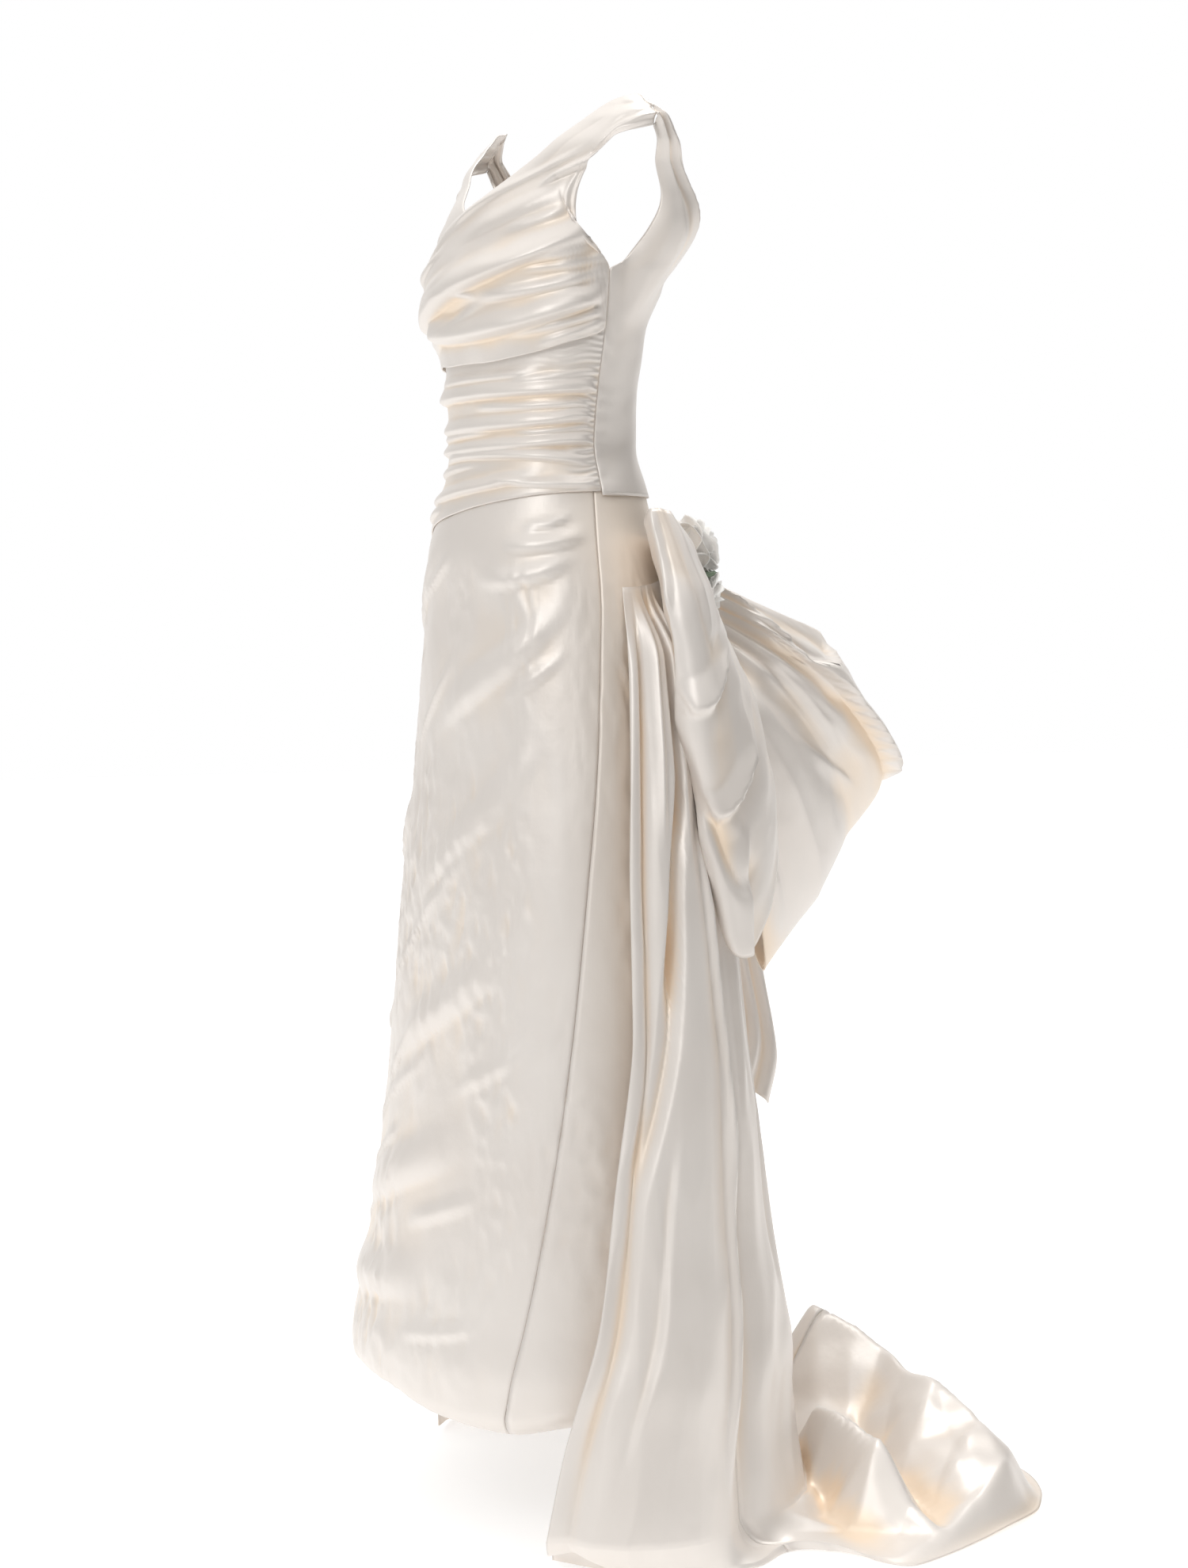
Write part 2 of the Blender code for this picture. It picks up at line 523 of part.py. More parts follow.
def train_height(x, y):
    """Height of the crumpled train over the floor: a blend of tents over the crests."""
    total = np.zeros_like(x)
    for x0, y0, z0, x1, y1, z1, width in CRESTS:
        along = np.clip(((x - x0) * (x1 - x0) + (y - y0) * (y1 - y0))
                        / ((x1 - x0) ** 2 + (y1 - y0) ** 2), 0.0, 1.0)
        away = np.hypot(x - x0 - along * (x1 - x0), y - y0 - along * (y1 - y0))
        tent = (z0 + (z1 - z0) * along) * smooth(1.0 - away / width)
        total = total + tent ** 4
    return total ** 0.25


def gore(name, first, last):
    """One gore of the overskirt, from the hip to the floor and out over it as the train."""
    drop = spread(0.0, 1.0, GORE_ROWS)[None, :] ** GORE_ROW_POWER
    half_gap = SEAM / 2.0 / (GORE_GIRTH + GORE_SPREAD * drop)
    start = first[0] + (first[1] - first[0]) * drop + half_gap * (first[0] > 0.0)
    end = last[0] + (last[1] - last[0]) * drop - half_gap * (last[0] < 1.0)
    share = start + (end - start) * spread(0.0, 1.0, GORE_COLUMNS)[:, None]
    top = OVERSKIRT_TOP + OVERSKIRT_BACK_RISE * smooth(2.0 * np.minimum(share, 1.0 - share))
    hanging = overskirt_point(share, top + (FOOT_LEVEL - top) * drop)
    foot = hanging[:, -1]
    keys, edge_x, edge_y = np.transpose(TRAIN_EDGE)
    edge = np.stack([through(share[:, -1], keys, edge_x), through(share[:, -1], keys, edge_y)], axis=-1)
    out = spread(0.0, 1.0, TRAIN_ROWS)[1:]
    flat = foot[:, None, :2] + (edge - foot[:, :2])[:, None, :] * out[None, :, None]
    reach = np.hypot(*np.moveaxis(flat - foot[:, None, :2], -1, 0))
    left_up = np.exp(-reach / FOOT_FLARE)
    border = smooth((1.0 - out) / BORDER)[None, :]
    crumple = train_height(flat[..., 0], flat[..., 1]) * (1.0 - left_up)
    crumple = crumple * (BORDER_CRUMPLE + (1.0 - BORDER_CRUMPLE) * border)
    height = WALL + (FOOT_LEVEL + FLOOR_DROP - WALL) * left_up * (1.0 - out)[None, :] + crumple
    lying = np.concatenate([flat, (FLOOR_Z + height)[..., None]], axis=-1)
    cloth(name, np.concatenate([hanging, lying], axis=1))


def knot_seat():
    """How far behind the axis the knot's inner face lies, just off the overskirt."""
    level = KNOT_LEVEL + (KNOT_HALF[2] - KNOT_BEVEL) * spread(-1.0, 1.0, 6)
    return overskirt_point(0.5 + np.zeros_like(level), level)[:, 1].max() + KNOT_STANDOFF


def knot():
    """Band of cloth round the middle of the bow."""
    mesh = bpy.data.meshes.new("bow_knot")
    shape = bmesh.new()
    bmesh.ops.create_cube(shape, size=2.0)
    bmesh.ops.scale(shape, verts=shape.verts, vec=KNOT_HALF)
    bmesh.ops.translate(shape, verts=shape.verts, vec=knot_centre)
    shape.to_mesh(mesh)
    shape.free()
    thing = place("bow_knot", mesh, SATIN, SATIN_ROUGHNESS)
    rounding = thing.modifiers.new("rounding", "BEVEL")
    rounding.width = KNOT_BEVEL
    rounding.segments = 3


def loop(name, table, hand):
    """Loop of the bow: each thread runs out from the knot, round its far edge and back."""
    share = spread(0.0, 1.0, LOOP_ROWS)[:, None]
    keys = column(table, LOOP_COLUMNS, "share")
    x, y, level, bow, half, droop = (through(share, keys, column(table, LOOP_COLUMNS, name))
                                     for name in LOOP_COLUMNS[1:])
    stand_off = KNOT_HALF[0] + (LOOP_STANDOFF if hand > 0 else LOOP_STANDOFF + WALL)
    root = np.array(knot_centre) + (hand * stand_off, 0.0, 0.0)
    root_z = root[2] + LOOP_ROOT * (1.0 - 2.0 * share)
    round_turn = spread(0.0, 2.0 * math.pi, LOOP_TURN_CELLS)[None, :]
    out = (1.0 - np.cos(round_turn)) / 2.0
    run_x, run_y = x - root[0], y - root[1]
    length = np.hypot(run_x, run_y)
    across_x, across_y = -run_y / length * hand, run_x / length * hand
    opened = smooth(out / LOOP_OPENS)
    side_x, side_y = across_x * opened, across_y * opened + (1.0 - opened)
    gathers = GATHER_RISE * np.sin(2.0 * math.pi * GATHERS * share) * np.sin(math.pi * np.sqrt(out))
    sheet = np.sin(round_turn) * (LOOP_ROOT_GAP + (half - LOOP_ROOT_GAP) * opened)
    ends = np.cos(round_turn / 2.0) * LOOP_ROOT_GAP * (1.0 - opened)
    offset = sheet + ends + bow * np.sin(math.pi * out) + gathers
    points = np.stack([root[0] + run_x * out + side_x * offset,
                       root[1] + run_y * out + side_y * offset,
                       root_z + (level - HOLD_LEVEL - root_z) * out ** LOOP_SAG_POWER
                       + droop * np.sin(math.pi * out)], axis=-1)
    cloth(name, points, flip=hand < 0)


def tail():
    """Free tail of the bow, in knife pleats with a slanted end."""
    share = spread(0.0, 1.0, TAIL_ROWS)[:, None]
    keys = column(TAIL, TAIL_COLUMNS, "share")
    x, y, level, half = (through(share, keys, column(TAIL, TAIL_COLUMNS, name))
                         for name in TAIL_COLUMNS[1:])
    across = spread(-1.0, 1.0, 3 * TAIL_PLEATS)[None, :]
    pleat = TAIL_PLEAT_RISE * np.sin(math.pi * TAIL_PLEATS * across) * smooth(share / TAIL_PLEAT_START)
    points = np.stack([x + pleat + 0.0 * across,
                       y + half * across,
                       level - HOLD_LEVEL - TAIL_SLANT * across * smooth(share / TAIL_SLANT_START)], axis=-1)
    cloth("bow_tail", points)


def facing(turn, lift):
    """Direction a turn round from behind and a lift up, and the two directions across it."""
    a, b = math.radians(turn), math.radians(lift)
    outward = np.array([math.sin(a) * math.cos(b), math.cos(a) * math.cos(b), math.sin(b)])
    sideways = np.array([math.cos(a), -math.sin(a), 0.0])
    return outward, sideways, np.cross(outward, sideways)


def on_knot(outward):
    """Point just off the rounded knot where a plate facing outward would touch it."""
    core = (np.array(KNOT_HALF) - KNOT_BEVEL) * np.sign(np.round(outward, 3))
    return np.array(knot_centre) + core + (KNOT_BEVEL + SEAM) * outward


def rose(name, turn, lift, radius, height):
    """Fabric rose: a round body turned from a cupped profile, with a lobe for each petal."""
    outward, sideways, upward = facing(turn, lift)
    mesh = bpy.data.meshes.new(name)
    shape = bmesh.new()
    bmesh.ops.create_uvsphere(shape, u_segments=ROSE_SIDES, v_segments=len(ROSE_PROFILE) - 1, radius=1.0)
    shape.to_mesh(mesh)
    shape.free()
    ball = np.empty(len(mesh.vertices) * 3, np.float32)
    mesh.vertices.foreach_get("co", ball)
    ball = ball.reshape(-1, 3).astype(float)
    down = np.degrees(np.arccos(np.clip(ball[:, 2], -1.0, 1.0))) / 180.0 * (len(ROSE_PROFILE) - 1)
    reach, rise = np.transpose(ROSE_PROFILE)
    rings = np.arange(len(ROSE_PROFILE))
    around = np.arctan2(ball[:, 1], ball[:, 0])
    lobes = 1.0 + ROSE_LOBE * np.cos(ROSE_PETALS * around + down)
    wide = radius * np.interp(down, rings, reach) * lobes
    points = (on_knot(outward) + np.outer(height * np.interp(down, rings, rise), outward)
              + np.outer(wide * np.cos(around), sideways) + np.outer(wide * np.sin(around), upward))
    mesh.vertices.foreach_set("co", points.astype(np.float32).ravel())
    mesh.update()
    place(name, mesh, PETAL, 0.7)


def leaf(name, turn, tilt, length, half_width):
    """Leaf that stands out from the knot, pointed at both ends and bent along its middle."""
    outward, sideways, upward = facing(turn, 0.0)
    along, across = spread(0.0, 1.0, 6)[:, None], spread(-1.0, 1.0, 4)[None, :]
    blade = math.cos(math.radians(tilt)) * sideways + math.sin(math.radians(tilt)) * upward
    width = half_width * np.sin(math.pi * (LEAF_TIP[0] + LEAF_TIP[1] * along)) ** LEAF_POWER
    fold = LEAF_FOLD * width * np.abs(across)
    points = (on_knot(outward) + (length * along)[..., None] * outward
              + (width * across)[..., None] * blade + fold[..., None] * np.cross(outward, blade))
    cloth(name, points, wall=LEAF_WALL, colour=LEAF_GREEN, roughness=0.6)


def main():
    front_left()
    front_right()
    back_bodice("bodice_back_left", 1, 2.0 * LAYER)
    back_bodice("bodice_back_right", -1, UNDER_LAP)
    waist()
    skirt()
    for name, first, last in GORES:
        gore(name, first, last)
    knot()
    loop("bow_loop_left", LEFT_LOOP, 1)
    loop("bow_loop_right", RIGHT_LOOP, -1)
    tail()
    for row in ROSES:
        rose(*row)
    for row in LEAVES:
        leaf(*row)


for old in list(bpy.data.objects):
    bpy.data.objects.remove(old)
gown = bpy.data.collections.new("evening_gown")
bpy.context.scene.collection.children.link(gown)
knot_centre = (0.0, knot_seat() + KNOT_HALF[1], KNOT_LEVEL - HOLD_LEVEL)
main()
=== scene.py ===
# %% [markdown]
# # A draped satin gown with a train and a bow
# The gown is made the way a dressmaker builds it: every cut panel is its own sheet.
# The frame holds the same panels as plain solids; here each one becomes fine cloth.
# All lengths are metres. +Z is up, the front faces -Y and the wearer's left is +X.

# %% Frame
import math

import bpy
import numpy as np
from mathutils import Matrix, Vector
from mathutils.geometry import delaunay_2d_cdt


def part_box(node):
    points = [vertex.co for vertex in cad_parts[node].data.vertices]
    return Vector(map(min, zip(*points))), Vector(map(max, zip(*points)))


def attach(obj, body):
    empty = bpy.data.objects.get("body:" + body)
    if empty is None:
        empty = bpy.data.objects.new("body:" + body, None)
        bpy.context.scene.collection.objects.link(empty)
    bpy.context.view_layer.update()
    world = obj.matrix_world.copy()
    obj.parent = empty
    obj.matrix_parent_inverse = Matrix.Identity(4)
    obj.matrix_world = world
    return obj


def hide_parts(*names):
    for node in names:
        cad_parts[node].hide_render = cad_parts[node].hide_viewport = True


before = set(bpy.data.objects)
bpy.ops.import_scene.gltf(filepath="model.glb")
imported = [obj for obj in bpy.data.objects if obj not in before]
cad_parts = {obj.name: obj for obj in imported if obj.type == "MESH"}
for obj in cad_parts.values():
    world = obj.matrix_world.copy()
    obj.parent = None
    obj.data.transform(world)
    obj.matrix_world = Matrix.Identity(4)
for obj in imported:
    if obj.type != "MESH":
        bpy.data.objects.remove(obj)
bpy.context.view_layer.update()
print("frame:", len(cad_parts), "panels and trims")

# %% [markdown]
# ## Camera
# A picture of a tall garment is taken from hip height with a longish lens, so that nothing
# looks stretched. The camera could track an empty, but a direction worked out from an
# azimuth, a tilt and a small turn is easier to read and gives the same view each run.

# %% Camera
HOLD_LEVEL = 1.440                      # the origin's height over the datum used for levels
FLOOR_Z = -1.455
PICTURE_HEIGHT_PX = 1979
SENSOR = 36.0
VIEW_AZIMUTH, VIEW_DISTANCE, VIEW_Z = math.radians(63.05), 3.30, -0.500
VIEW_TILT, VIEW_TURN = math.radians(3.204), math.radians(0.884)
FOCAL_PX = 3887.0

backward = Vector((math.sin(VIEW_AZIMUTH), -math.cos(VIEW_AZIMUTH), 0.0))
rightward = Vector((math.cos(VIEW_AZIMUTH), math.sin(VIEW_AZIMUTH), 0.0))
level_view = rightward * math.sin(VIEW_TURN) - backward * math.cos(VIEW_TURN)
view = level_view * math.cos(VIEW_TILT) - Vector((0.0, 0.0, math.sin(VIEW_TILT)))
camera = bpy.data.objects.new("camera", bpy.data.cameras.new("camera"))
camera.data.sensor_width = SENSOR
camera.data.lens = FOCAL_PX / PICTURE_HEIGHT_PX * SENSOR
camera.location = backward * VIEW_DISTANCE + Vector((0.0, 0.0, VIEW_Z))
camera.rotation_euler = view.to_track_quat("-Z", "Y").to_euler()
bpy.context.scene.collection.objects.link(camera)
bpy.context.scene.camera = camera
print("lens", round(camera.data.lens, 1), "mm")

# %% [markdown]
# ## Surfaces from numbers
# Cloth could be sculpted or simulated. Here every sheet is a function of two parameters on
# a grid, so that a fold is a sum of named ridges and the same ridge can be moved by hand.
# `through` draws a smooth curve through a few values. `noise` is seeded, so it never changes
# from one run to the next, and `creases` turns it into the sharp crests of stiff cloth.

# %% Curves and noise
LATTICE = 64


def smooth(x):
    """Ramp from 0 to 1 with level ends: 3t^2 - 2t^3."""
    t = np.clip(x, 0.0, 1.0)
    return t * t * (3.0 - 2.0 * t)


def steps(first, last, cells):
    """Even steps from first to last, one more than the cells between them."""
    return np.linspace(first, last, cells + 1)


def through(x, keys, values):
    """Cubic through the points (keys, values), its slopes the harmonic means beside each point."""
    keys, values = np.asarray(keys, float), np.asarray(values, float)
    step = np.diff(keys)
    slope = np.diff(values) / step
    tangent = np.zeros_like(values)
    tangent[0], tangent[-1] = slope[0], slope[-1]
    product, total = slope[:-1] * slope[1:], slope[:-1] + slope[1:]
    same_way = product > 0.0
    tangent[1:-1] = np.where(same_way, 2.0 * product / np.where(same_way, total, 1.0), 0.0)
    i = np.clip(np.searchsorted(keys, x, side="right") - 1, 0, len(keys) - 2)
    t = np.clip((x - keys[i]) / step[i], 0.0, 1.0)
    start = (1.0 + 2.0 * t) * (1.0 - t) ** 2 * values[i] + t * (1.0 - t) ** 2 * step[i] * tangent[i]
    end = t * t * (3.0 - 2.0 * t) * values[i + 1] - t * t * (1.0 - t) * step[i] * tangent[i + 1]
    return start + end


def table_column(table, names, name):
    """One named column of a table as an array."""
    return np.array([row[names.index(name)] for row in table], float)


def noise(x, y, seed):
    """Gradient noise: a seeded direction at each lattice corner, dotted with the way from it, blended."""
    turns = np.random.default_rng(seed).uniform(0.0, 2.0 * math.pi, (LATTICE, LATTICE))
    cell_x, cell_y = np.floor(x).astype(int), np.floor(y).astype(int)
    part_x, part_y = x - cell_x, y - cell_y
    total = np.zeros(np.broadcast(x, y).shape)
    for dx in (0, 1):
        for dy in (0, 1):
            turn = turns[(cell_x + dx) % LATTICE, (cell_y + dy) % LATTICE]
            near_x = smooth(part_x) if dx else 1.0 - smooth(part_x)
            near_y = smooth(part_y) if dy else 1.0 - smooth(part_y)
            total += near_x * near_y * (np.cos(turn) * (part_x - dx) + np.sin(turn) * (part_y - dy))
    return total


def creases(x, y, seed, layers=2):
    """Ridged noise: 1 - 3|noise| is a network of sharp crests over round hollows, layer on layer."""
    total, size = 0.0, 1.0
    for layer in range(layers):
        total = total + size * (1.0 - 3.0 * np.abs(noise(x / size, y / size, seed + layer)))
        size = size / 2.0
    return total


print("noise over one lattice cell:", noise(steps(0.0, 1.0, 4), 0.5, 1).round(3))

# %% [markdown]
# ## Shader maths
# A material's numbers are easier to read as sums than as a web of nodes. The class below
# wraps a socket: an operator on it adds one Math node, and `node` adds any other kind.

# %% Socket wrapper


class Wire:
    """One output socket. Operators add Math nodes, and node() adds any other node."""

    def __init__(self, tree, socket=None):
        self.tree = tree
        self.socket = socket

    def node(self, kind, settings=None, inputs=None, output=0):
        """Adds a node: its settings come first, then the values or links of its sockets."""
        made = self.tree.nodes.new(kind)
        for name, value in (settings or {}).items():
            setattr(made, name, value)
        for name, value in (inputs or {}).items():
            if isinstance(value, Wire):
                self.tree.links.new(value.socket, made.inputs[name])
            else:
                made.inputs[name].default_value = value
        return Wire(self.tree, made.outputs[output])

    def maths(self, operation, *values):
        """One Math node on up to three numbers or wires."""
        return self.node("ShaderNodeMath", {"operation": operation}, dict(enumerate(values)))

    def __add__(self, other):
        return self.maths("ADD", self, other)

    def __sub__(self, other):
        return self.maths("SUBTRACT", self, other)

    def __rsub__(self, other):
        return self.maths("SUBTRACT", other, self)

    def __mul__(self, other):
        return self.maths("MULTIPLY", self, other)

    __radd__ = __add__
    __rmul__ = __mul__

    def held(self):
        """The value kept between 0 and 1."""
        return self.node("ShaderNodeClamp", None, {"Value": self})

    def blend(self, low, high):
        """Mixes two colours, this wire being the share of the second."""
        inputs = {"Factor": self, 6: low, 7: high}
        return self.node("ShaderNodeMix", {"data_type": "RGBA"}, inputs, output=2)


def ramp(value, first, last):
    """Soft step from 0 at first to 1 at last."""
    inputs = {"Value": value, "From Min": first, "From Max": last}
    return value.node("ShaderNodeMapRange", {"interpolation_type": "SMOOTHSTEP"}, inputs)


def new_material(name):
    """An empty material, its start wire and its Principled shader."""
    material = bpy.data.materials.new(name)
    material.use_nodes = True
    tree = material.node_tree
    shader = tree.nodes["Principled BSDF"]
    return material, Wire(tree), shader


def feed(shader, **sockets):
    """Links wires to, or sets numbers on, sockets of the shader, named with underscores for spaces."""
    for name, value in sockets.items():
        socket = shader.inputs[name.replace("_", " ")]
        if isinstance(value, Wire):
            value.tree.links.new(value.socket, socket)
        else:
            socket.default_value = value


print("operators on a wire:", [name for name in vars(Wire) if name.endswith(("add__", "sub__", "mul__"))])

# %% [markdown]
# ## Satin
# Duchesse satin is a heavy ivory cloth whose long floats lie flat, so light slides over it
# in broad soft bands. It has hardly any visible weave. The hollows of its folds glow warm,
# because light bounces from ivory to ivory. A plain colour with low roughness would look
# like plastic, so roughness and a fine bump run along the threads, which the UV map holds in
# metres, and a painted attribute called hollow warms the valleys.

# %% Satin material
SATIN_LIT = (0.868, 0.824, 0.778, 1.0)
SATIN_DEEP = (0.925, 0.775, 0.615, 1.0)
SATIN_GREY = (0.815, 0.758, 0.705, 1.0)
SATIN_SHINE = 0.28                      # share of the light that the flat floats mirror
THREADS_PER_METRE = (2600.0, 700.0, 1.0)
SLUBS_PER_METRE = (420.0, 26.0, 1.0)
CLOUDS_PER_METRE = 7.0
PUCKERS_PER_METRE = 70.0
CLOUD_CONTRAST, CLOUD_FLOOR = 1.6, 0.45
THREAD_SHARE, SLUB_SHARE, PUCKER_SHARE = 0.02, 0.10, 0.55
BUMP_STRENGTH, BUMP_DEPTH = 0.45, 0.0012
ROUGH_LEAST, ROUGH_BY_CLOUD, ROUGH_BY_SLUB = 0.34, 0.10, 0.05


def satin_material(name):
    """Ivory satin: warm in its hollows, with floats along the cloth and small soft puckers."""
    material, start, shader = new_material(name)
    place = start.node("ShaderNodeUVMap", {"uv_map": "cloth"})
    body = start.node("ShaderNodeTexCoord", output=3)
    hollow = start.node("ShaderNodeAttribute", {"attribute_name": "hollow"}, output=2)

    def grain(where, scale, detail):
        return start.node("ShaderNodeTexNoise", None, {"Vector": where, "Scale": scale, "Detail": detail})

    def along_threads(per_metre, detail):
        """Noise stretched along the cloth's own threads."""
        mapped = start.node("ShaderNodeMapping", None, {"Vector": place, "Scale": per_metre})
        return grain(mapped, 1.0, detail)

    threads, slubs = along_threads(THREADS_PER_METRE, 1.0), along_threads(SLUBS_PER_METRE, 2.0)
    clouds, puckers = grain(body, CLOUDS_PER_METRE, 3.0), grain(body, PUCKERS_PER_METRE, 2.0)
    tone = (clouds * CLOUD_CONTRAST - CLOUD_FLOOR).held()
    colour = hollow.held().blend(tone.blend(SATIN_GREY, SATIN_LIT), SATIN_DEEP)
    height = threads * THREAD_SHARE + slubs * SLUB_SHARE + puckers * PUCKER_SHARE
    bump = start.node("ShaderNodeBump", None,
                      {"Strength": BUMP_STRENGTH, "Distance": BUMP_DEPTH, "Height": height})
    rough = ROUGH_LEAST + clouds * ROUGH_BY_CLOUD + slubs * ROUGH_BY_SLUB
    feed(shader, Base_Color=colour, Roughness=rough, Normal=bump, Metallic=SATIN_SHINE, IOR=1.5)
    return material


SATIN = satin_material("ivory_satin")
print("satin nodes:", len(SATIN.node_tree.nodes))

# %% [markdown]
# ## From a grid to a panel of cloth
# A grid of points becomes faces, a UV map in metres for the threads, and the hollow
# attribute. Solidify gives the sheet its wall on the inner side, so its outer face keeps
# the worked out form. Each panel replaces its plain solid, and its cloth area is printed
# beside the area that it was cut to.

# %% Panels
WALL = 0.0016


def grid_faces(rows, columns, flip):
    """Corner numbers of each cell of a grid, wound the other way round for flip."""
    index = np.arange(rows * columns).reshape(rows, columns)
    corners = [index[:-1, :-1], index[:-1, 1:], index[1:, 1:], index[1:, :-1]]
    if flip:
        corners.reverse()
    return np.stack([corner.ravel() for corner in corners], axis=1)


def arc_lengths(points):
    """Mean distance run along each way of a grid, as two rows of running totals."""
    down = np.linalg.norm(np.diff(points, axis=0), axis=2).mean(axis=1)
    across = np.linalg.norm(np.diff(points, axis=1), axis=2).mean(axis=0)
    return np.concatenate([[0.0], np.cumsum(down)]), np.concatenate([[0.0], np.cumsum(across)])


def grid_area(points):
    """Area of the sheet: half the cross product of each cell's diagonals."""
    one = points[1:, 1:] - points[:-1, :-1]
    other = points[1:, :-1] - points[:-1, 1:]
    return float(np.linalg.norm(np.cross(one, other), axis=2).sum() / 2.0)


def grid_object(name, points, material, hollow=None, flip=False):
    """A mesh through a grid of points, with its UV map and its hollow attribute."""
    rows, columns = points.shape[:2]
    faces = grid_faces(rows, columns, flip)
    mesh = bpy.data.meshes.new(name)
    mesh.from_pydata(points.reshape(-1, 3).tolist(), [], faces.tolist())
    u, v = arc_lengths(points)
    place = np.stack(np.meshgrid(u, v, indexing="ij"), axis=-1).reshape(-1, 2)
    layer = mesh.uv_layers.new(name="cloth")
    layer.data.foreach_set("uv", place[faces.ravel()].astype(np.float32).ravel())
    depth = np.zeros(rows * columns) if hollow is None else np.broadcast_to(hollow, (rows, columns))
    mesh.attributes.new("hollow", "FLOAT", "POINT").data.foreach_set(
        "value", np.ascontiguousarray(depth, np.float32).ravel())
    mesh.shade_smooth()
    mesh.materials.append(material)
    made = bpy.data.objects.new(name, mesh)
    bpy.context.scene.collection.objects.link(made)
    return made


def wall_on(made, thickness=WALL):
    """Gives a sheet its wall on the inner side."""
    solidify = made.modifiers.new("wall", "SOLIDIFY")
    solidify.thickness = thickness
    solidify.offset = -1.0
    return made


def dress(made, node):
    """The piece rides on the gown and stands for its plain solid, which is hidden."""
    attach(made, "root")
    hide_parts(node)
    return made


def panel(node, points, hollow=None, flip=False, area=None):
    """One cut panel of satin in place of the plain solid of that name."""
    made = dress(wall_on(grid_object(node + "_cloth", points, SATIN, hollow, flip)), node)
    print(node, points.shape[:2], "cloth area", round(grid_area(points), 3), "cut area", area)
    return made


def hollows(rise, depth=0.006, widen=1):
    """How deep each point lies beside the ridges round it: a blurred rise less the rise itself."""
    blurred = rise
    for reach in (widen * step for step in (1, 2, 4, 6)):
        for axis in (0, 1):
            index = np.arange(rise.shape[axis])
            before = np.take(blurred, np.maximum(index - reach, 0), axis)
            after = np.take(blurred, np.minimum(index + reach, index[-1]), axis)
            blurred = (before + blurred + after) / 3.0
    return smooth((blurred - rise) / depth)


print("wall of a sheet:", WALL * 1000.0, "mm")

# %% [markdown]
# ## The form inside the cloth
# A gown is draped on a dress form, and the cloth keeps that form. It could be a scanned
# mesh, but cross sections are easier to fit: each is half an ellipse in front and half
# behind. A point on the cloth is an angle from the front, a level, and an ease: how far the
# cloth stands off.

# %% Form
WAIST_LEVEL = 1.115
FORM_COLUMNS = ("level", "half_width", "front", "back", "centre")
FORM = (
    (0.000, 0.252, 0.202, 0.180, 0.000),
    (0.157, 0.252, 0.202, 0.180, 0.000),
    (0.216, 0.247, 0.191, 0.172, 0.000),
    (0.298, 0.236, 0.176, 0.162, 0.000),
    (0.380, 0.228, 0.165, 0.155, 0.000),
    (0.494, 0.217, 0.153, 0.145, 0.000),
    (0.645, 0.202, 0.142, 0.135, 0.000),
    (0.800, 0.186, 0.125, 0.128, 0.000),
    (0.880, 0.175, 0.122, 0.124, 0.000),
    (0.950, 0.165, 0.118, 0.120, 0.000),
    (1.000, 0.152, 0.120, 0.112, 0.000),
    (1.060, 0.133, 0.105, 0.098, 0.000),
    (1.115, 0.119, 0.092, 0.088, -0.003),
    (1.170, 0.126, 0.096, 0.086, -0.002),
    (1.220, 0.136, 0.104, 0.088, 0.000),
    (1.285, 0.147, 0.120, 0.092, 0.000),
    (1.325, 0.150, 0.111, 0.094, 0.004),
    (1.360, 0.155, 0.100, 0.094, 0.008),
    (1.395, 0.171, 0.079, 0.088, 0.013),
    (1.420, 0.190, 0.068, 0.075, 0.020),
    (1.440, 0.190, 0.052, 0.060, 0.025),
    (1.455, 0.170, 0.040, 0.045, 0.027),
    (1.470, 0.145, 0.030, 0.030, 0.028),
)


def on_form(angle, level, ease):
    """Ellipse point (half sin a, centre - depth cos a), moved out along its normal by ease."""
    keys = table_column(FORM, FORM_COLUMNS, "level")
    half, front, back, centre = (through(level, keys, table_column(FORM, FORM_COLUMNS, name))
                                 for name in FORM_COLUMNS[1:])
    turn = np.radians(angle)
    depth = np.where(np.cos(turn) > 0.0, front, back)
    out_x, out_y = np.sin(turn) / half, -np.cos(turn) / depth
    length = np.hypot(out_x, out_y)
    x = half * np.sin(turn) + ease * out_x / length
    y = centre - depth * np.cos(turn) + ease * out_y / length
    return np.stack(np.broadcast_arrays(x, y, level - HOLD_LEVEL), axis=-1)


waist_line = on_form(steps(0.0, 360.0, 72), WAIST_LEVEL, 0.0)
print("waist", round(float(np.linalg.norm(np.diff(waist_line, axis=0), axis=1).sum()), 3), "m round")

# %% [markdown]
# ## Draped folds
# A draped fold runs from a seam where the cloth is gathered, sags, and dies out. Above its
# crest the cloth slopes gently, and below it drops back steeply, because weight pulls it
# down. Each fold is a row: where it starts and ends, its sag, its rise and both widths.

# %% Folds
SIDE_ANGLE, SIDE_FADE = 88.0, 6.0
LAYER = 0.0024                          # step from one cloth's outer face to that of the next
UNDER_LAP = 0.0010
SEAM_DEGREES = 0.06                     # half the gap at a sewn edge
GATHER_PITCH, GATHER_RISE, GATHER_WANDER = 0.0064, 0.0019, 1.6
RIDGE_FOOT = 0.9999                     # a cosine's foot, just short of a right angle
EDGE_RADIUS, EDGE_CURL = 0.0035, 0.45


